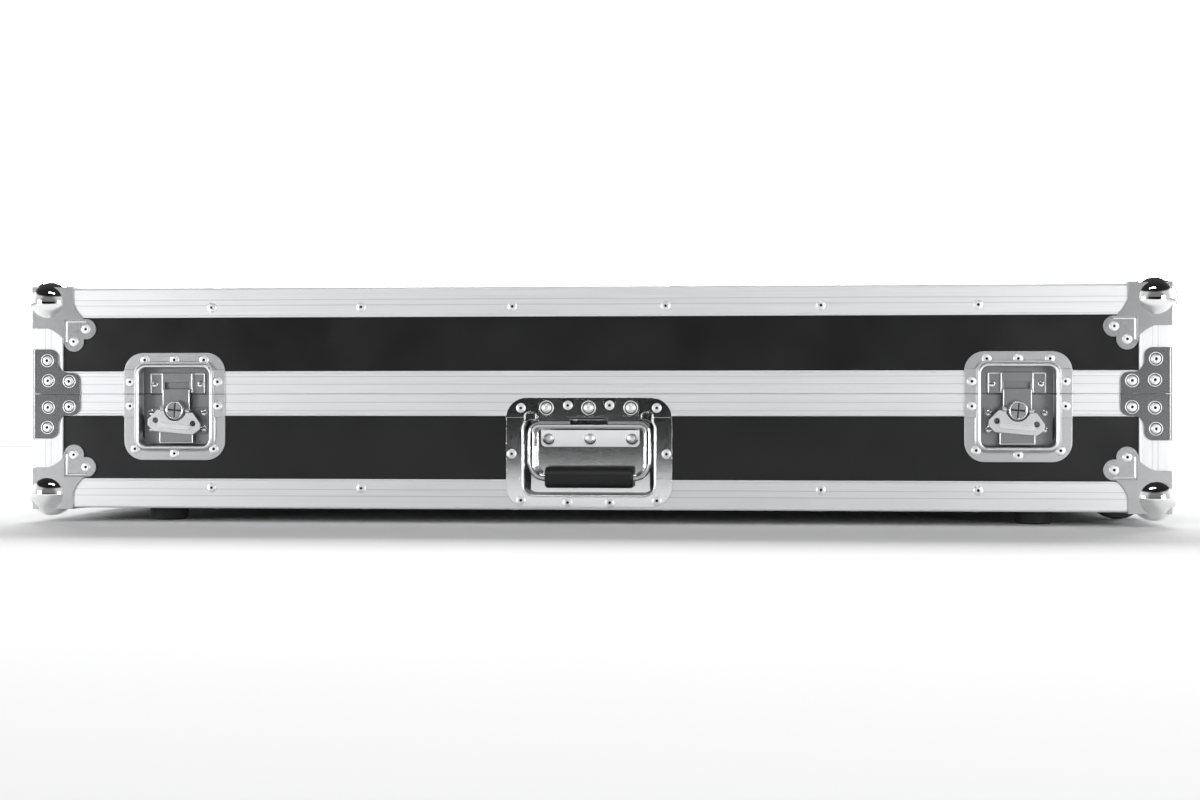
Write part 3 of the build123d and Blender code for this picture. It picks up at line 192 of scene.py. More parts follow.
# Studio: floor corners in metres; lamps by name, place, aim, size and watts; the lens and where it stands
FLOOR_CORNERS = ((-8, -1.65, 0), (8, -1.65, 0), (8, 3, 0), (-8, 3, 0))
LAMPS = (("back_box", (0.0, 1.9, 1.9), (0, 0.7, 0), 4.2, 1.2, 165),
         ("front_box", (0.0, -1.9, 2.4), (0, -0.2, 0.1), 1.4, 0.3, 16),
         ("left_box", (-2.2, -1.7, 0.12), (-0.3, -0.2, 0.10), 0.8, 0.9, 38),
         ("right_box", (1.9, -1.9, 0.12), (0.3, -0.2, 0.10), 0.8, 0.9, 33))
LENS_MM, SENSOR_MM = 57.0, 36.0
LENS_TURN = 4.63
LENS_DISTANCE = 1951 * MM
LENS_AIM = (11.6 * MM, -HALF_Y, 128 * MM)


def linear(code):
    """A screen colour as hex digits, turned to linear light with full alpha."""
    shares = [int(code[i:i + 2], 16) / 255 for i in (1, 3, 5)]
    light = [s / 12.92 if s <= 0.04045 else ((s + 0.055) / 1.055) ** 2.4 for s in shares]
    return (*light, 1.0)


def add_node(tree, kind, inputs=None, **settings):
    """Add a shader node with its settings, and link or set its inputs."""
    node = tree.nodes.new(kind)
    for name, value in settings.items():
        setattr(node, name, value)
    for name, value in (inputs or {}).items():
        socket = node.inputs[name]
        if isinstance(value, bpy.types.NodeSocket):
            tree.links.new(value, socket)
        else:
            socket.default_value = value
    return node


def worked(tree, operation, *values):
    """The result of a math node on up to three values."""
    return add_node(tree, "ShaderNodeMath", dict(enumerate(values)), operation=operation).outputs[0]


def ranged(tree, value, before, after, smooth=False):
    """A value taken from one span to another."""
    inputs = {"Value": value, "From Min": before[0], "From Max": before[1], "To Min": after[0],
              "To Max": after[1]}
    kind = "SMOOTHSTEP" if smooth else "LINEAR"
    return add_node(tree, "ShaderNodeMapRange", inputs, interpolation_type=kind).outputs["Result"]


def noise(tree, place, size, detail, rough=0.5):
    """Cloudy noise whose largest blobs have a real size in millimetres."""
    inputs = {"Vector": place, "Scale": 1 / (size * MM), "Detail": detail, "Roughness": rough}
    return add_node(tree, "ShaderNodeTexNoise", inputs).outputs["Fac"]


def toned(tree, factor, first, second):
    """A colour between two, by a factor."""
    inputs = {"Factor": factor, "A": first, "B": second}
    return add_node(tree, "ShaderNodeMix", inputs, data_type="RGBA").outputs["Result"]


def bumped(tree, height, strength, distance, **more):
    """A normal bent by a height; distance is in millimetres."""
    inputs = {"Height": height, "Strength": strength, "Distance": distance * MM, **more}
    return add_node(tree, "ShaderNodeBump", inputs).outputs["Normal"]


def new_material(name):
    """An empty material, its tree, and the object's own coordinates in it."""
    material = bpy.data.materials.new(name)
    material.use_nodes = True
    tree = material.node_tree
    tree.nodes.clear()
    return material, tree, add_node(tree, "ShaderNodeTexCoord").outputs["Object"]


def finish_material(tree, inputs):
    """Join a shader with its inputs to the material's output."""
    shader = add_node(tree, "ShaderNodeBsdfPrincipled", inputs)
    add_node(tree, "ShaderNodeOutputMaterial", {"Surface": shader.outputs["BSDF"]})


def laminate():
    """Phenolic film on birch plywood, hot pressed: near black, satin, with a faint pebble that breaks up
    reflections."""
    material, tree, place = new_material("phenolic_film_plywood")
    pebble = add_node(tree, "ShaderNodeTexVoronoi", {"Vector": place, "Scale": 1 / (1.6 * MM)},
                      feature="SMOOTH_F1").outputs["Distance"]
    cloud = noise(tree, place, 60, 4.0)
    finish_material(tree, {"Base Color": toned(tree, cloud, linear("#0d0d0f"), linear("#131315")),
                           "Roughness": ranged(tree, cloud, (0.3, 0.7), (0.28, 0.37)),
                           "Normal": bumped(tree, pebble, 0.22, 0.10), "IOR": 1.5})
    return material


def groove_lines(tree, place, lines):
    """A mask that is 1 in each groove; lines lists axis, distance from the middle, and if on both sides."""
    axes = add_node(tree, "ShaderNodeSeparateXYZ", {"Vector": place})
    total = None
    for axis, where, both in lines:
        value = axes.outputs[axis]
        if both:
            value = worked(tree, "ABSOLUTE", value)
        gap = worked(tree, "ABSOLUTE", worked(tree, "SUBTRACT", value, where))
        line = ranged(tree, gap, (0.15 * MM, 0.7 * MM), (1.0, 0.0), smooth=True)
        total = worked(tree, "MAXIMUM", total, line) if total else line
    return total


def anodised_aluminium(name, stretch, lines):
    """Extruded aluminium, clear anodised: pale and even, with fine die lines along its length and two
    shallow grooves, so that light smears into soft bands across it. The grooves also take a darker
    tone: painted shade."""
    material, tree, place = new_material(name)
    drawn = add_node(tree, "ShaderNodeMapping", {"Vector": place, "Scale": stretch}).outputs["Vector"]
    die = noise(tree, drawn, 1.4, 3.0, 0.6)
    groove = groove_lines(tree, place, lines)
    tone = toned(tree, die, linear("#dcdde0"), linear("#f2f3f4"))
    # Painted shade: a darker tone in each groove, besides its real dip
    shade = toned(tree, groove, tone, linear("#d0d2d5"))
    height = worked(tree, "MULTIPLY_ADD", die, 0.08, worked(tree, "MULTIPLY", groove, -1.0))
    finish_material(tree, {"Base Color": shade, "Metallic": 0.88,
                           "Roughness": ranged(tree, die, (0.0, 1.0), (0.50, 0.64)),
                           "Normal": bumped(tree, height, 0.25, 0.25)})
    return material


def painted_pan_shade_depth(tree, place):
    """A mask for painted shade: it grows from 0 at a wall's face to 1 some millimetres inside a dish."""
    axes = add_node(tree, "ShaderNodeSeparateXYZ", {"Vector": place})
    front = worked(tree, "ADD", axes.outputs["Y"], BOARD_Y)
    left = worked(tree, "ADD", axes.outputs["X"], BOARD_X)
    return ranged(tree, worked(tree, "MINIMUM", front, left), (-2.0 * MM, 6.0 * MM), (0.0, 1.0))


def plated_steel(name):
    """Pressed steel sheet, electroplated: a bright metal with slight waves from the press and rounded,
    brighter edges. A sixth value is a darker colour put deep in a drawn pan as painted shade."""
    pale, dark, rough, wave, rounding, *painted_pan_shade = PLATED[name]
    material, tree, place = new_material(name)
    swirl = noise(tree, place, 14, 2.0)
    fine = noise(tree, place, 0.9, 3.0)
    tone = toned(tree, fine, linear(dark), linear(pale))
    if painted_pan_shade:
        # Painted shade: the tone darkens deep inside a drawn pan
        tone = toned(tree, painted_pan_shade_depth(tree, place), tone, linear(painted_pan_shade[0]))
    round_edge = add_node(tree, "ShaderNodeBevel", {"Radius": rounding * MM}, samples=6).outputs["Normal"]
    finish_material(tree, {"Base Color": tone, "Metallic": 1.0,
                           "Roughness": ranged(tree, fine, (0.3, 0.7), rough),
                           "Normal": bumped(tree, swirl, wave, 1.0, Normal=round_edge)})
    return material


def moulded(name):
    """Moulded rubber or nylon: dark and dull, with the fine grain of its mould. The same dull black
    serves as painted shadow.
    """
    dark, pale, rough_low, rough_high, grain = MOULDED[name]
    material, tree, place = new_material(name)
    cloud = noise(tree, place, 9, 4.0)
    speck = noise(tree, place, grain, 2.0)
    finish_material(tree, {"Base Color": toned(tree, cloud, linear(dark), linear(pale)),
                           "Roughness": ranged(tree, speck, (0.0, 1.0), (rough_low, rough_high)),
                           "Normal": bumped(tree, speck, 0.25, 0.15), "IOR": 1.52})
    return material


def open_cell_foam():
    """Open-cell polyurethane foam, cut: charcoal, with pores that make it drink the light. Each cell
    is painted darker at its middle: painted shade in the pore.
    """
    material, tree, place = new_material("open_cell_foam")
    voronoi = {"Vector": place, "Scale": 1 / (2.2 * MM)}
    cell = add_node(tree, "ShaderNodeTexVoronoi", voronoi).outputs["Distance"]
    height = worked(tree, "ADD", cell, noise(tree, place, 35, 5.0))
    # Painted shade: each cell darker at its middle, in its pore
    finish_material(tree, {"Base Color": toned(tree, cell, linear("#1a1b1d"), linear("#3a3b3f")),
                           "Roughness": 0.95, "Normal": bumped(tree, height, 0.7, 0.6),
                           "Sheen Weight": 0.15, "Sheen Roughness": 0.6})
    return material


def dress(material, *names):
    """Give carried-over pieces a material in place of their plain one."""
    for name in names:
        mesh = NODES[name].data
        mesh.materials.clear()
        mesh.materials.append(material)


def smooth_faces(mesh, angle):
    """Shade a mesh smooth, with edges sharper than the angle kept."""
    mesh.shade_smooth()
    work = bmesh.new()
    work.from_mesh(mesh)
    for edge in work.edges:
        if len(edge.link_faces) == 2:
            edge.smooth = edge.calc_face_angle(0) < radians(angle)
    work.to_mesh(mesh)
    work.free()


def new_object(name, data):
    """An object linked to the scene."""
    thing = bpy.data.objects.new(name, data)
    bpy.context.scene.collection.objects.link(thing)
    return thing


def worked_mesh(name, work, materials):
    """A mesh made from worked data, with its materials."""
    mesh = bpy.data.meshes.new(name)
    work.to_mesh(mesh)
    work.free()
    for material in materials:
        mesh.materials.append(material)
    return mesh


def place_piece(name, work, materials, body, angle=60):
    """Turn worked data into an object that rides on a body."""
    mesh = worked_mesh(name, work, materials)
    smooth_faces(mesh, angle)
    piece = new_object(name, mesh)
    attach(piece, body)


def outward(face):
    """The outward direction of a face of the case."""
    return {"front": Vector((0, -1, 0)), "rear": Vector((0, 1, 0)), "left": Vector((-1, 0, 0)),
            "right": Vector((1, 0, 0)), "top": Vector((0, 0, 1)), "bottom": Vector((0, 0, -1))}[face]


def on_face(face, u, v, level):
    """A point on a face: u runs along it, v is height (or depth on top and bottom), level is above the
    board."""
    return {"front": Vector((u, -BOARD_Y - level, v)), "rear": Vector((-u, BOARD_Y + level, v)),
            "left": Vector((-BOARD_X - level, -u, v)), "right": Vector((BOARD_X + level, u, v)),
            "top": Vector((u, v, BOARD_TOP + level)), "bottom": Vector((u, v, BOARD_BOTTOM - level))}[face]


def from_edge(half, distance):
    """The height of a point by its distance from the top of the lid or the bottom of the base."""
    return CASE_TOP - distance if half == "lid" else CASE_BOTTOM + distance


def flat_patch(work, points):
    """One flat face through points."""
    work.faces.new([work.verts.new(point) for point in points])


def join_rings(work, rings, closed=False, tints=None):
    """Fill the strips between rows of points; tints gives a material index per column."""
    for low, high in zip(rings, rings[1:]):
        for step in range(len(low) if closed else len(low) - 1):
            after = (step + 1) % len(low)
            strip = work.faces.new((low[step], low[after], high[after], high[step]))
            strip.material_index = tints[step] if tints else 0


def turn_profile(work, profile, centre, direction, segments=24, tints=None):
    """Sweep a profile in millimetres round an axis; tints gives a material index per band."""
    frame_turn = direction.to_track_quat("Z", "Y").to_matrix()
    rings = []
    for radius, height in [(radius * MM, height * MM) for radius, height in profile]:
        if radius == 0:
            rings.append([work.verts.new(centre + frame_turn @ Vector((0, 0, height)))])
            continue
        ring = []
        for step in range(segments):
            angle = 2 * pi * step / segments
            offset = Vector((radius * cos(angle), radius * sin(angle), height))
            ring.append(work.verts.new(centre + frame_turn @ offset))
        rings.append(ring)
    for band, (low, high) in enumerate(zip(rings, rings[1:])):
        for step in range(segments):
            after = (step + 1) % segments
            if len(high) == 1:
                corners = (low[step], low[after], high[0])
            else:
                corners = (low[step], low[after], high[after], high[step])
            face = work.faces.new(corners)
            face.material_index = tints[band] if tints else 0


def rivet_group(name, shape, places, body, metal, hollow):
    """One piece holding every rivet of a shape on a body; places are (face, u, v, level)."""
    work = bmesh.new()
    profile, tints = shape
    for face, u, v, level in places:
        turn_profile(work, profile, on_face(face, u, v, level), outward(face), tints=tints)
    place_piece(name, work, [metal, hollow], body)


def half_round(width, height, steps=6):
    """The section of a half-round bead, as pairs of side and rise."""
    return [(width / 2 * cos(pi * step / steps), height * sin(pi * step / steps))
            for step in range(steps + 1)]


def bead_run(work, start, end, up, out, width, height):
    """A half-round bead from start to end; up points across it and out away from the surface."""
    rings = []
    for point in (start, end):
        section = half_round(width, height)
        rings.append([work.verts.new(point + (up * side + out * rise)) for side, rise in section])
    join_rings(work, rings)
    work.faces.new(rings[0])
    work.faces.new(rings[1][::-1])


def face_bead(work, face, start, end, level, width, height):
    """A half-round bead on a face, from one (u, v) to another, along it or up it."""
    way = (0, 1) if start[1] == end[1] else (1, 0)
    up = on_face(face, *way, 0) - on_face(face, 0, 0, 0)
    ends = [on_face(face, *place, level) for place in (start, end)]
    bead_run(work, *ends, up, outward(face), width, height)


def rounded_path(low, high, half, corner, steps=8):
    """Points along a rounded rectangle, from the middle of its right side, upward and round."""
    middle = (low + high) / 2
    points = [(half, middle)]
    for across, up, start in ((1, 1, 0), (-1, 1, 1), (-1, -1, 2), (1, -1, 3)):
        centre_u = across * (half - corner)
        centre_v = (high - corner) if up > 0 else (low + corner)
        for step in range(steps + 1):
            angle = pi / 2 * (start + step / steps)
            points.append((centre_u + corner * cos(angle), centre_v + corner * sin(angle)))
    points.append((half, middle))
    return points


def rolled_lip(work, face, middle, points, width, apron=0.0):
    """A half-round bead along points on a face, like the rolled lip of a pressed dish; an apron adds a
    slope outside it and a short wall inside."""
    section = half_round(width, LIP_RISE)
    tints = None
    if apron:
        section = [(width / 2 + apron, -0.62 * MM - RAISE), (width / 2, -0.6 * MM), *section,
                   (-width / 2, -3 * MM)]
        tints = [1] + [0] * (len(section) - 3) + [1]
    rings = []
    for index, (u, v) in enumerate(points):
        before = points[max(index - 1, 0)]
        after = points[min(index + 1, len(points) - 1)]
        along = Vector((after[0] - before[0], after[1] - before[1])).normalized()
        rings.append([work.verts.new(on_face(face, middle + u + along.y * side, v - along.x * side,
                                             LIP_LEVEL + out)) for side, out in section])
    join_rings(work, rings, tints=tints)


class RoadCaseSizes(bpy.types.PropertyGroup):
    """Sizes of the small pieces that dress the case."""

    bead_width: bpy.props.FloatProperty(name="Bead width", description="Width of the bead along an edge",
                                        default=2.4 * MM, unit="LENGTH")
    bead_height: bpy.props.FloatProperty(name="Bead height", description="How far the bead stands proud",
                                         default=0.55 * MM, unit="LENGTH")
    rivet_pitch: bpy.props.FloatProperty(name="Rivet pitch", description="Distance between edge rivets",
                                         default=158 * MM, unit="LENGTH")
    rivet_inset: bpy.props.FloatProperty(name="Rivet inset", description="From a case edge to its rivets",
                                         default=20.5 * MM, unit="LENGTH")
    foam_grain: bpy.props.FloatProperty(name="Foam grain", description="Size of the cells that the lining "
                                        "is rebuilt from", default=6 * MM, unit="LENGTH")


class RoadCaseColours(bpy.types.PropertyGroup):
    """Colour of the studio floor."""

    floor: bpy.props.FloatVectorProperty(name="Floor", description="Colour of the studio floor",
                                         default=linear("#f4f4f4"), size=4, subtype="COLOR")


class ROADCASE_OT_boards(bpy.types.Operator):
    """Finish the plywood boards with black film"""

    bl_idname = "roadcase.boards"
    bl_label = "Boards"

    def execute(self, context):
        dress(laminate(), "lid_top_panel", "lid_front_panel", "lid_rear_panel", "lid_end_panels",
              "base_floor_panel", "base_front_panel", "base_rear_panel", "base_left_panel",
              "base_right_panel")
        return {"FINISHED"}


class ROADCASE_OT_edges(bpy.types.Operator):
    """Finish the aluminium angle and add the bead along its inner border"""

    bl_idname = "roadcase.edges"
    bl_label = "Aluminium edges"

    def execute(self, context):
        groups = ((CASE_TOP, EDGE_GROOVES), (LID_RIM_TOP, LID_RIM_GROOVES), (BASE_SEAM, BASE_RIM_GROOVES),
                  (CASE_BOTTOM + EDGE_LEG, LOW_EDGE_GROOVES))
        level = [("Z", top - depth, False) for top, depths in groups for depth in depths]
        side = [("X", HALF_X - depth, True) for depth in EDGE_GROOVES]
        front = [("Y", HALF_Y - depth, True) for depth in EDGE_GROOVES]
        long_metal = anodised_aluminium("anodised_aluminium_long", (0.01, 1, 1), level + front)
        end_metal = anodised_aluminium("anodised_aluminium_end", (1, 0.01, 1), level + side)
        post_metal = anodised_aluminium("anodised_aluminium_post", (1, 1, 0.01), side + front)
        for half in ("lid", "base"):
            dress(long_metal, f"{half}_front_edge", f"{half}_rear_edge", f"{half}_front_rim",
                  f"{half}_rear_rim")
            dress(end_metal, f"{half}_end_edges", f"{half}_end_rims")
            dress(post_metal, f"{half}_corner_posts")
        for half in ("base", "lid"):
            self.beads(half, context.scene.road_case_sizes, long_metal)
        return {"FINISHED"}

    def beads(self, half, sizes, metal):
        """The beads of one half, beside the boards of its sides and of its top or bottom."""
        width = sizes.bead_width
        look = RAISE, width, sizes.bead_height
        inset = EDGE_LEG - width / 2
        edge_z = from_edge(half, inset)
        rim_z = LID_RIM_TOP - width / 2 if half == "lid" else BASE_RIM_LOW + width / 2
        work = bmesh.new()
        gaps = self.gaps(half, edge_z, rim_z)
        for face, reach in SIDES:
            run = reach - EDGE_LEG
            for z in (edge_z, rim_z):
                stops = [-run]
                for low, high in sorted(gaps.get((face, z), [])):
                    stops += [low, high]
                stops.append(run)
                for low, high in zip(stops[::2], stops[1::2]):
                    face_bead(work, face, (low, z), (high, z), *look)
            for u in (-run - width / 2, run + width / 2):
                face_bead(work, face, (u, edge_z), (u, rim_z), *look)
        flat = "top" if half == "lid" else "bottom"
        run_x, run_y = HALF_X - EDGE_LEG, HALF_Y - EDGE_LEG
        for side in (-1, 1):
            u, v = side * (HALF_X - inset), side * (HALF_Y - inset)
            face_bead(work, flat, (-run_x, v), (run_x, v), *look)
            face_bead(work, flat, (u, -run_y), (u, run_y), *look)
        place_piece(f"{half}_edge_beads", work, [metal], half, 50)

    def gaps(self, half, edge_z, rim_z):
        """The runs where a latch, a handle or a wheel stands in place of the bead."""
        handle = (-HANDLE_REACH, HANDLE_REACH)
        latches = [(x - LATCH_REACH, x + LATCH_REACH) for x in (-LATCH_X, LATCH_X)]
        if half == "lid":
            return {("front", rim_z): latches}
        return {("front", edge_z): [handle], ("front", rim_z): latches + [handle],
                ("left", rim_z): [handle], ("left", edge_z): [handle], ("right", edge_z): WHEEL_GAPS}


class ROADCASE_OT_corners(bpy.types.Operator):
    """Finish the braces and ball corners, and turn smooth balls over the CAD ones"""

    bl_idname = "roadcase.corners"
    bl_label = "Corners"

    def execute(self, context):
        dress(plated_steel("zinc_plated_braces"), "lid_corner_braces", "base_corner_braces")
        dress(plated_steel("zinc_plated_corners"), "lid_ball_corners", "base_ball_corners")
        nickel = plated_steel("bright_nickel_balls")
        bright = plated_steel("bright_corner_steps")
        for half in ("lid", "base"):
            self.steps(half, bright)
        for half in ("lid", "base"):
            self.balls(half, nickel)
        return {"FINISHED"}

    def balls(self, half, metal):
        """Four smooth balls, without the part that is buried in the case."""
        work = bmesh.new()
        x, y, z = HALF_X - BALL_INSET, HALF_Y - BALL_INSET, from_edge(half, BALL_INSET)
        for centre in ((-x, -y, z), (-x, y, z), (x, -y, z), (x, y, z)):
            bmesh.ops.create_uvsphere(work, u_segments=64, v_segments=40, radius=BALL_RADIUS,
                                      matrix=Matrix.Translation(centre))
        limit = from_edge(half, BALL_SKIN)
        buried = []
        for face in work.faces:
            place = face.calc_center_median()
            within = place.z < limit if half == "lid" else place.z > limit
            if abs(place.x) < HALF_X - BALL_SKIN and abs(place.y) < HALF_Y - BALL_SKIN and within:
                buried.append(face)
        bmesh.ops.delete(work, geom=buried, context="FACES")
        place_piece(f"{half}_nickel_balls", work, [metal], half)

    def steps(self, half, metal):
        """The sloped step in each ball corner, where it goes down from the aluminium to the boards."""
        near, far = from_edge(half, STEP_START), from_edge(half, STEP_END)
        # Each step is drawn in a whiter metal than its plate: a painted highlight
        work = bmesh.new()
        for face, reach in SIDES:
            for side in (-1, 1):
                inner, outer = side * (reach - STEP_START), side * (reach - STEP_END)
                for end in ((outer, near), (inner, far)):
                    face_bead(work, face, (inner, near), end, SHEET, STEP_WIDTH, STEP_HEIGHT)
        place_piece(f"{half}_corner_steps", work, [metal], half)


class ROADCASE_OT_rivets(bpy.types.Operator):
    """Set the rivets in the edges, corners, latches and handles"""

    bl_idname = "roadcase.rivets"
    bl_label = "Rivets"

    def execute(self, context):
        looks = plated_steel("zinc_plated_rivets"), moulded("rivet_bore_shadow")
        kinds = (("edge", TUBE_RIVET, self.edge_places), ("corner", TUBE_RIVET, self.corner_places),
                 ("brace", DIMPLED_RIVET, self.brace_places), ("latch", TUBE_RIVET, self.latch_places))
        for kind, shape, places in kinds:
            for half in ("lid", "base"):
                rivet_group(f"{half}_{kind}_rivets", shape, places(half), half, *looks)
        rivet_group("handle_rivets", TUBE_RIVET, self.handle_places(), "base", *looks)
        rivet_group("handle_bracket_rivets", BIG_RIVET, self.bracket_places(), "base", *looks)
        return {"FINISHED"}

    def edge_places(self, half):
        """Rivets along the angle, on the sides and on the top or bottom."""
        lid = half == "lid"
        sizes = bpy.context.scene.road_case_sizes
        inset = sizes.rivet_inset
        z = CASE_TOP - inset if lid else CASE_BOTTOM + inset + 1.0 * MM
        flat = "top" if lid else "bottom"
        places = []
        for step in range(6):
            u = sizes.rivet_pitch * (step - 2.5)
            if lid or abs(u) > HANDLE_ROOM:
                places.append(("front", u, z, RAISE))
            places.append(("rear", u, z, RAISE))
            places += [(flat, u, v * (HALF_Y - inset), RAISE) for v in (-1, 1)]
        for u in (-END_ROW * MM, END_ROW * MM):
            places.append(("left", u, z, RAISE))
            places += [(flat, v * (HALF_X - inset), u, RAISE) for v in (-1, 1) if lid or v < 0]
        right = (-END_ROW, END_ROW) if lid else (-WHEEL_ROW, 0, WHEEL_ROW)
        return places + [("right", u * MM, z, RAISE) for u in right]

    def corner_places(self, half):
        """Two rivets on each lobe of each ball corner."""
        flat = "top" if half == "lid" else "bottom"
        places = []
        for a, b in LOBE_SPOTS:
            a, b = a * MM, b * MM
            z = from_edge(half, b)
            for side in (-1, 1):
                places += [(face, side * (reach - a), z, SHEET) for face, reach in SIDES]
                places += [(flat, side * (HALF_X - a), other * (HALF_Y - b), SHEET) for other in (-1, 1)]
        return places

    def brace_places(self, half):
        """Three rivets on each side of each brace."""
        places = []
        for a, b in BRACE_SPOTS:
            a, b = a * MM, b * MM
            z = LID_SEAM + b if half == "lid" else BASE_SEAM - b
            for side in (-1, 1):
                places += [(face, side * (reach - a), z, RAISE + SHEET) for face, reach in SIDES]
        return places

    def latch_places(self, half):
        """The rivets round each latch dish."""
        return [("front", side * LATCH_X + u * MM, SEAM + w * MM, high * RAISE + DISH_SHEET)
                for side in (-1, 1) for u, w, high in LATCH_SPOTS[half]]

    def handle_places(self):
        """The rivets round each handle dish."""
        return [(face, side * u * MM, CASE_BOTTOM + h * MM, high * RAISE + DISH_SHEET)
                for face in ("front", "left") for side in (-1, 1) for u, h, high in HANDLE_SPOTS]

    def bracket_places(self):
        """The large rivets that hold each handle bracket, on the strap and on the tab in the dish."""
        rows = ((STRAP_RIVETS, RAISE + 2 * DISH_SHEET), (TAB_RIVETS, TAB_LEVEL + 1.0 * MM))
        return [(face, u * MM, CASE_BOTTOM + h * MM, level) for face in ("front", "left")
                for u in BRACKET_ROW for h, level in rows]


class ROADCASE_OT_latches(bpy.types.Operator):
    """Finish the turn latches and add their lips, screws, heads, painted edge highlights and pressed bars
    """

    bl_idname = "roadcase.latches"
    bl_label = "Latches"

    def execute(self, context):
        dish = plated_steel("nickel_plated_dish")
        lip = plated_steel("rolled_dish_lip")
        bright = plated_steel("bright_latch_trim")
        shadow = moulded("slot_shadow")
        dress(dish, "latch_base_dishes", "latch_lid_dishes")
        dress(plated_steel("zinc_plated_mount"), "latch_mount_plates")
        dress(plated_steel("zinc_plated_keeper"), "latch_keepers")
        dress(plated_steel("zinc_plated_hook"), "left_latch_hook", "right_latch_hook")
        dress(plated_steel("turned_spindle"), "left_latch_cam", "right_latch_cam")
        dress(plated_steel("tumbled_wing"), "left_latch_wing", "right_latch_wing")
        self.lips(lip, dish)
        for side, x in (("left", -LATCH_X), ("right", LATCH_X)):
            self.screws(side, x, bright, shadow)
            self.bar(side, x, lip)
            self.head(side, x, bright, shadow)
            self.edge_highlights(side, x, lip)
        return {"FINISHED"}

    def lips(self, metal, sheet):
        """The rolled lip round each dish, parted at the seam, in a whiter metal: a painted highlight."""
        half = LATCH_BORDER[2]
        loop = rounded_path(*LATCH_BORDER)
        upper = [(half, LID_SEAM)] + [p for p in loop if p[1] > SEAM] + [(-half, LID_SEAM)]
        lower = [(-half, BASE_SEAM)] + [p for p in loop[1:-1] if p[1] < SEAM] + [(half, BASE_SEAM)]
        for body, points in (("lid", upper), ("base", lower)):
            work = bmesh.new()
            for x in (-LATCH_X, LATCH_X):
                rolled_lip(work, "front", x, points, LATCH_LIP, LATCH_APRON)
            place_piece(f"{body}_latch_lips", work, [metal, sheet], body)

    def edge_highlights(self, side, x, metal):
        """Beads of the bright lip metal round the keeper and the hook: painted highlights on their edges.
        """
        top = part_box("latch_keepers")[1][2] - 0.8 * MM
        low = LID_SEAM + 1 * MM
        raised = -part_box("latch_keepers")[0][1] - BOARD_Y
        keeper = [(-28.6, low, -28.6, top, KEEPER_LEVEL, 1.6), (-28.6, top, -17.0, top, KEEPER_LEVEL, 1.6),
                  (17.0, top, 28.6, top, KEEPER_LEVEL, 1.6), (28.8, low, 28.8, top, KEEPER_LEVEL, 1.0),
                  (-15.8, low, -15.8, top, raised, 1.0), (15.8, low, 15.8, top, raised, 1.0)]
        (left_x, front_y, foot), (right_x, _, _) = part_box(f"{side}_latch_hook")
        left, right = (left_x - x) / MM, (right_x - x) / MM
        level = -front_y - BOARD_Y
        hook = [(left, foot, right, foot, level, 1.0)]
        hook += [(u, foot, u, foot + 11 * MM, level, 1.0) for u in (left, right)]
        hook += [(u, SEAM - 18 * MM, u, SEAM + 4 * MM, level, 0.9) for u in (-13.9, 13.9)]
        for name, lines, body in (("keeper", keeper, "lid"), ("hook", hook, f"{side}_hook")):
            work = bmesh.new()
            for u_start, v_start, u_end, v_end, height, width in lines:
                start = on_face("front", x + u_start * MM, v_start, height)
                end = on_face("front", x + u_end * MM, v_end, height)
                up = outward("front").cross((end - start).normalized())
                bead_run(work, start, end, up, outward("front"), width * MM, HIGHLIGHT_RISE)
            place_piece(f"{side}_{name}_burrs", work, [metal], body)

    def head(self, side, x, metal, shadow):
        """A bright ring round the spindle's head and the shadow at the foot of its cross slot."""
        low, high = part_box(f"{side}_latch_cam")
        axis_z = high[2] - SPINDLE_DROP
        level = -low[1] - BOARD_Y
        work = bmesh.new()
        turn_profile(work, HEAD_RING, on_face("front", x, axis_z, level), outward("front"), 40)
        place_piece(f"{side}_head_ring", work, [metal], f"{side}_cam")
        work = bmesh.new()
        reach, tall = 7.2 * MM, 0.6 * MM
        for angle in (REST_TURN, REST_TURN + 90):
            # One leg of the cross lies a hair deeper, so that the two don't share a plane
            turn = Matrix.Rotation(radians(angle), 3, "Y")
            start = on_face("front", x, axis_z, level - 1.1 * MM - angle * 0.0005 * MM)
            corners = ((-reach, 0, -tall), (reach, 0, -tall), (reach, 0, tall), (-reach, 0, tall))
            flat_patch(work, [start + turn @ Vector(corner) for corner in corners])
        place_piece(f"{side}_head_slot", work, [shadow], f"{side}_cam")

    def screws(self, side, x, metal, shadow):
        """Round slotted heads on the keeper's tabs and on the mount plate; each slot is painted shadow."""
        groups = (("keeper", "lid", KEEPER_SCREWS, KEEPER_LEVEL),
                  ("mount", "base", MOUNT_SCREWS, MOUNT_LEVEL))
        for name, body, spots, level in groups:
            places = [("front", x + u * MM, SEAM + w * MM, level) for u, w in spots]
            rivet_group(f"{side}_{name}_rivets", SMALL_RIVET, places, body, metal, metal)
        for _, body, spots, level in groups:
            # Each slot: a flat patch of painted shadow on the head
            work = bmesh.new()
            for u, w in spots:
                flat_patch(work, [on_face("front", x + (u + across) * MM, SEAM + (w + up) * MM,
                                          level + SLOT_LEVEL) for across, up in SLOT_CORNERS])
            place_piece(f"{side}_{body}_screw_slot_shadows", work, [shadow], body)

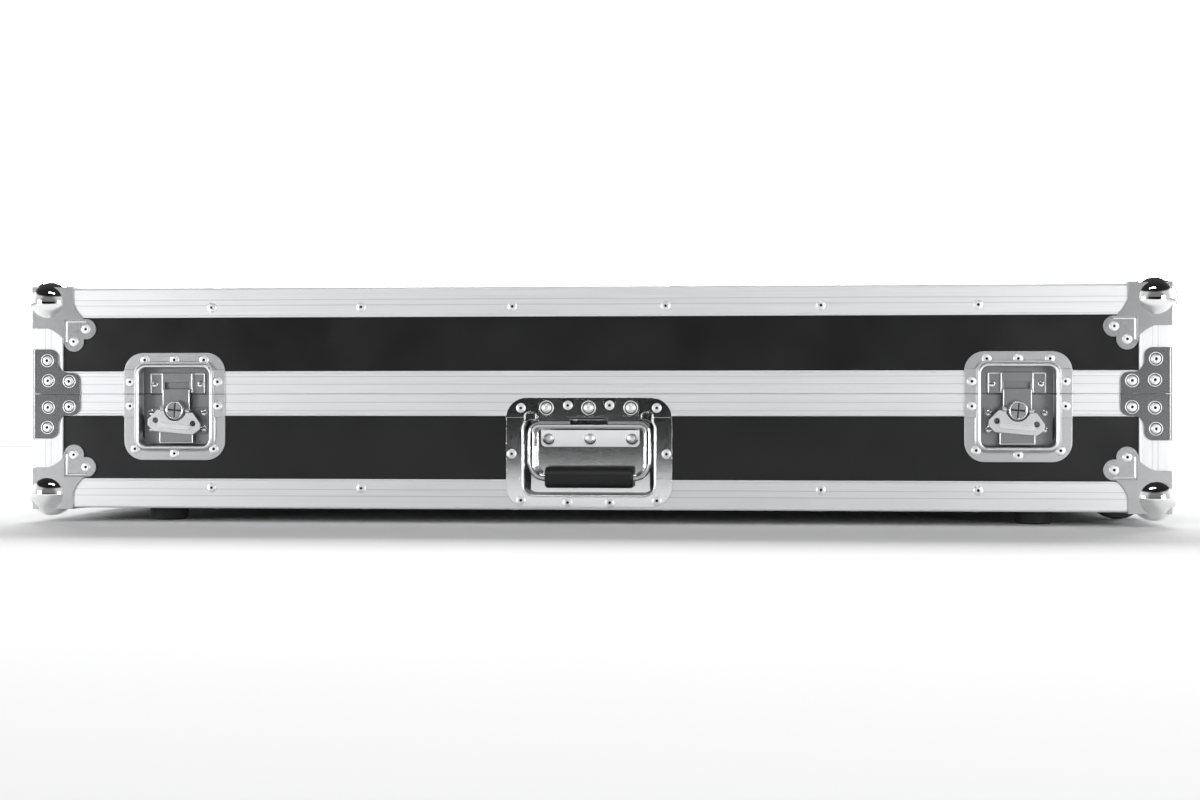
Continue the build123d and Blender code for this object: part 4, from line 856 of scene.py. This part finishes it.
    def bar(self, side, x, metal):
        """A plain pressed bar across the wing, in the lip's whiter metal: a painted highlight."""
        axis_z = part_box(f"{side}_latch_cam")[1][2] - SPINDLE_DROP
        centre = Vector((x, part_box(f"{side}_latch_wing")[0][1] + 1.6 * MM, axis_z))
        turn = Matrix.Rotation(radians(REST_TURN), 4, "Y")
        half, tall, rise, drop = 17.5 * MM, 2.6 * MM, 0.8 * MM, 17.2 * MM
        work = bmesh.new()
        rings = []
        for share, out in ((1.0, 0.0), (0.97, 0.4 * rise), (0.9, rise)):
            ring = []
            for step in range(32):
                angle = 2 * pi * step / 32
                straight = (half - tall) * (1 if cos(angle) >= 0 else -1)
                local = Vector((straight + tall * share * cos(angle), -out,
                                -drop + tall * share * sin(angle)))
                ring.append(work.verts.new(centre + turn @ local))
            rings.append(ring)
        join_rings(work, rings, closed=True)
        work.faces.new(rings[-1])
        place_piece(f"{side}_wing_bar", work, [metal], f"{side}_wing", angle=50)


class ROADCASE_OT_handles(bpy.types.Operator):
    """Finish the sprung handles and add their lips and tab faces"""

    bl_idname = "roadcase.handles"
    bl_label = "Handles"

    def execute(self, context):
        dish = plated_steel("nickel_plated_handle_dish")
        dress(dish, "handle_dishes")
        dress(plated_steel("nickel_plated_bracket"), "handle_brackets")
        dress(plated_steel("nickel_plated_rod"), "front_handle_bail", "left_handle_bail")
        dress(plated_steel("spring_steel_wire"), "handle_springs")
        dress(moulded("moulded_grip_rubber"), "front_handle_grip", "left_handle_grip")
        self.lips(plated_steel("rolled_handle_lip"))
        self.tabs(dish)
        return {"FINISHED"}

    def lips(self, metal):
        """The rolled lip round each handle's pan, up to the strap, in a whiter metal: a painted highlight.
        """
        work = bmesh.new()
        points = [(u, v) for u, v in rounded_path(*HANDLE_BORDER)[1:-1] if v < STRAP_LOW]
        turn = next(index for index, (u, v) in enumerate(points) if u < 0)
        points = points[turn:] + points[:turn]
        for face in ("front", "left"):
            rolled_lip(work, face, 0, points, HANDLE_LIP)
        place_piece("handle_lips", work, [metal], "base")

    def tabs(self, metal):
        """The face of each bracket's tab, bent a little so that its top stands out."""
        work = bmesh.new()
        outline = [(TAB_HALF, TAB_HIGH), (-TAB_HALF, TAB_HIGH)]
        for centre, start in ((TAB_CORNER - TAB_HALF, 2), (TAB_HALF - TAB_CORNER, 3)):
            for step in range(7):
                angle = pi / 2 * (start + step / 6)
                outline.append((centre + TAB_CORNER * cos(angle),
                                TAB_LOW + TAB_CORNER + TAB_CORNER * sin(angle)))
        for face in ("front", "left"):
            front, back = [], []
            for u, v in outline:
                rise = 0.15 * MM + 2.0 * MM * (v - TAB_LOW) / (TAB_HIGH - TAB_LOW)
                front.append(work.verts.new(on_face(face, u, v, TAB_LEVEL + rise)))
                back.append(work.verts.new(on_face(face, u, v, TAB_LEVEL - 0.2 * MM)))
            work.faces.new(front)
            for step in range(len(front)):
                after = (step + 1) % len(front)
                work.faces.new((front[step], back[step], back[after], front[after]))
        place_piece("handle_tab_faces", work, [metal], "base", angle=40)


class ROADCASE_OT_lining(bpy.types.Operator):
    """Replace the plain foam with a lining of soft edges and open cells"""

    bl_idname = "roadcase.lining"
    bl_label = "Foam lining"

    def execute(self, context):
        foam = open_cell_foam()
        grain = context.scene.road_case_sizes.foam_grain * 1
        for half in ("base", "lid"):
            piece = new_object(f"{half}_foam_lining", NODES[f"{half}_foam"].data.copy())
            remesh = piece.modifiers.new("cells", "REMESH")
            remesh.mode = "VOXEL"
            remesh.voxel_size = grain
            soften = piece.modifiers.new("soften", "SMOOTH")
            soften.factor = 0.5
            soften.iterations = 3
            shape = bpy.data.meshes.new_from_object(piece.evaluated_get(
                bpy.context.evaluated_depsgraph_get()))
            piece.modifiers.clear()
            piece.data = shape
            shape.materials.clear()
            shape.materials.append(foam)
            shape.shade_smooth()
            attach(piece, half)
            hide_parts(f"{half}_foam")
        return {"FINISHED"}


class ROADCASE_OT_running_gear(bpy.types.Operator):
    """Finish the feet, wheels and their wells"""

    bl_idname = "roadcase.running_gear"
    bl_label = "Feet and wheels"

    def execute(self, context):
        dress(moulded("moulded_foot_rubber"), "rubber_feet")
        dress(moulded("wheel_tread_rubber"), "front_wheel_tyre", "rear_wheel_tyre")
        dress(moulded("moulded_wheel_nylon"), "front_wheel_hub", "rear_wheel_hub")
        dress(plated_steel("zinc_plated_well"), "wheel_housings", "wheel_axles", "foot_screws")
        return {"FINISHED"}


class ROADCASE_OT_hinges(bpy.types.Operator):
    """Finish the hinges and set their rivets"""

    bl_idname = "roadcase.hinges"
    bl_label = "Hinges"

    def execute(self, context):
        steel = plated_steel("zinc_plated_hinge")
        dress(steel, "hinge_base_leaves", "hinge_lid_leaves", "hinge_pins")
        for half, rise in (("lid", HINGE_RISE), ("base", -HINGE_RISE)):
            places = [("rear", -(x + u) * MM, SEAM + rise * MM, RAISE + 2.0 * MM) for x in HINGES
                      for u in HINGE_ROW]
            rivet_group(f"{half}_hinge_rivets", SMALL_RIVET, places, half, steel, steel)
        return {"FINISHED"}


class ROADCASE_OT_stage(bpy.types.Operator):
    """Lay the floor, hang the soft lights and set the camera"""

    bl_idname = "roadcase.stage"
    bl_label = "Stage"

    def execute(self, context):
        self.floor(context)
        self.surroundings(context)
        self.lamps()
        self.camera(context)
        return {"FINISHED"}

    def floor(self, context):
        """A white table top, matt, that runs on under and past the case."""
        material, tree, place = new_material("white_studio_floor")
        cloud = add_node(tree, "ShaderNodeTexNoise", {"Vector": place, "Scale": 3.0, "Detail": 2.0})
        finish_material(tree, {"Base Color": tuple(context.scene.road_case_colours.floor),
                               "Roughness": ranged(tree, cloud.outputs["Fac"], (0.0, 1.0), (0.6, 0.7)),
                               "Specular IOR Level": 0.0})
        work = bmesh.new()
        flat_patch(work, FLOOR_CORNERS)
        floor = new_object("studio_floor", worked_mesh("studio_floor", work, [material]))

    def surroundings(self, context):
        """A lit white wall behind with a greyer middle, white sides, a dark ceiling, and a dark room with
        a grey wall where the camera stands. The camera sees plain white."""
        world = bpy.data.worlds.new("studio_room")
        context.scene.world = world
        world.use_nodes = True
        tree = world.node_tree
        tree.nodes.clear()
        way = add_node(tree, "ShaderNodeTexCoord").outputs["Generated"]
        parts = add_node(tree, "ShaderNodeSeparateXYZ", {"Vector": way})
        depth, height = parts.outputs["Y"], parts.outputs["Z"]
        walls = ranged(tree, depth, (-0.45, 0.35), (0.75, 1.9), smooth=True)
        far_wall = ranged(tree, height, (0.03, 0.09), (0.012, 0.3))
        ahead = ranged(tree, depth, (-0.88, -0.62), (far_wall, 1.0), smooth=True)
        behind = ranged(tree, depth, (0.74, 0.9), (1.0, 0.2), smooth=True)
        above = ranged(tree, height, (0.42, 0.56), (1.0, 0.03), smooth=True)
        light = walls
        for share in (ahead, behind, above):
            light = worked(tree, "MULTIPLY", light, share)
        white = (1.0, 1.0, 1.0, 1.0)
        room = add_node(tree, "ShaderNodeBackground", {"Color": white, "Strength": light})
        plain = add_node(tree, "ShaderNodeBackground", {"Color": white, "Strength": 1.05})
        seen = add_node(tree, "ShaderNodeLightPath").outputs["Is Camera Ray"]
        both = add_node(tree, "ShaderNodeMixShader", {0: seen, 1: room.outputs[0], 2: plain.outputs[0]})
        add_node(tree, "ShaderNodeOutputWorld", {"Surface": both.outputs[0]})

    def lamps(self):
        """A box over the back of the case, one over the camera and one at each side."""
        for name, place, aim, wide, tall, watts in LAMPS:
            lamp = bpy.data.lights.new(name, "AREA")
            lamp.shape = "RECTANGLE"
            lamp.size = wide
            lamp.size_y = tall
            lamp.energy = watts
            box = new_object(name, lamp)
            box.location = place
            box.rotation_euler = (Vector(aim) - Vector(place)).to_track_quat("-Z", "Y").to_euler()

    def camera(self, context):
        """A lens at the height of the latches, just right of the middle and turned a little left."""
        turn = radians(LENS_TURN)
        lens = bpy.data.cameras.new("studio_camera")
        lens.sensor_width = SENSOR_MM
        lens.lens = LENS_MM
        lens.clip_start = 0.05
        lens.clip_end = 60.0
        camera = new_object("studio_camera", lens)
        camera.location = Vector(LENS_AIM) - Vector((-sin(turn), cos(turn), 0)) * LENS_DISTANCE
        camera.rotation_euler = (pi / 2, 0, turn)
        context.scene.camera = camera
        context.scene.view_settings.view_transform = "Standard"


class ROADCASE_PT_sidebar(bpy.types.Panel):
    """The steps that dress the case, in order"""

    bl_label = "Road Case"
    bl_idname = "ROADCASE_PT_sidebar"
    bl_space_type = "VIEW_3D"
    bl_region_type = "UI"
    bl_category = "Road Case"

    def draw(self, context):
        for step in STEPS:
            self.layout.operator(step.bl_idname)
        for settings in (context.scene.road_case_sizes, context.scene.road_case_colours):
            for name in settings.__annotations__:
                self.layout.prop(settings, name)


STEPS = (ROADCASE_OT_boards, ROADCASE_OT_edges, ROADCASE_OT_corners, ROADCASE_OT_rivets,
         ROADCASE_OT_latches, ROADCASE_OT_handles, ROADCASE_OT_lining, ROADCASE_OT_running_gear,
         ROADCASE_OT_hinges, ROADCASE_OT_stage)
CLASSES = (RoadCaseSizes, RoadCaseColours, *STEPS, ROADCASE_PT_sidebar)


def register():
    """Register the classes and hang the settings on the scene."""
    for entry in CLASSES:
        bpy.utils.register_class(entry)
    bpy.types.Scene.road_case_sizes = bpy.props.PointerProperty(type=RoadCaseSizes)
    bpy.types.Scene.road_case_colours = bpy.props.PointerProperty(type=RoadCaseColours)


def unregister():
    """Take the settings and classes away again."""
    del bpy.types.Scene.road_case_colours
    del bpy.types.Scene.road_case_sizes
    for entry in reversed(CLASSES):
        bpy.utils.unregister_class(entry)


def main():
    """Dress the case step by step."""
    register()
    for step in STEPS:
        group, name = step.bl_idname.split(".")
        getattr(getattr(bpy.ops, group), name)()


if __name__ == "__main__":
    main()
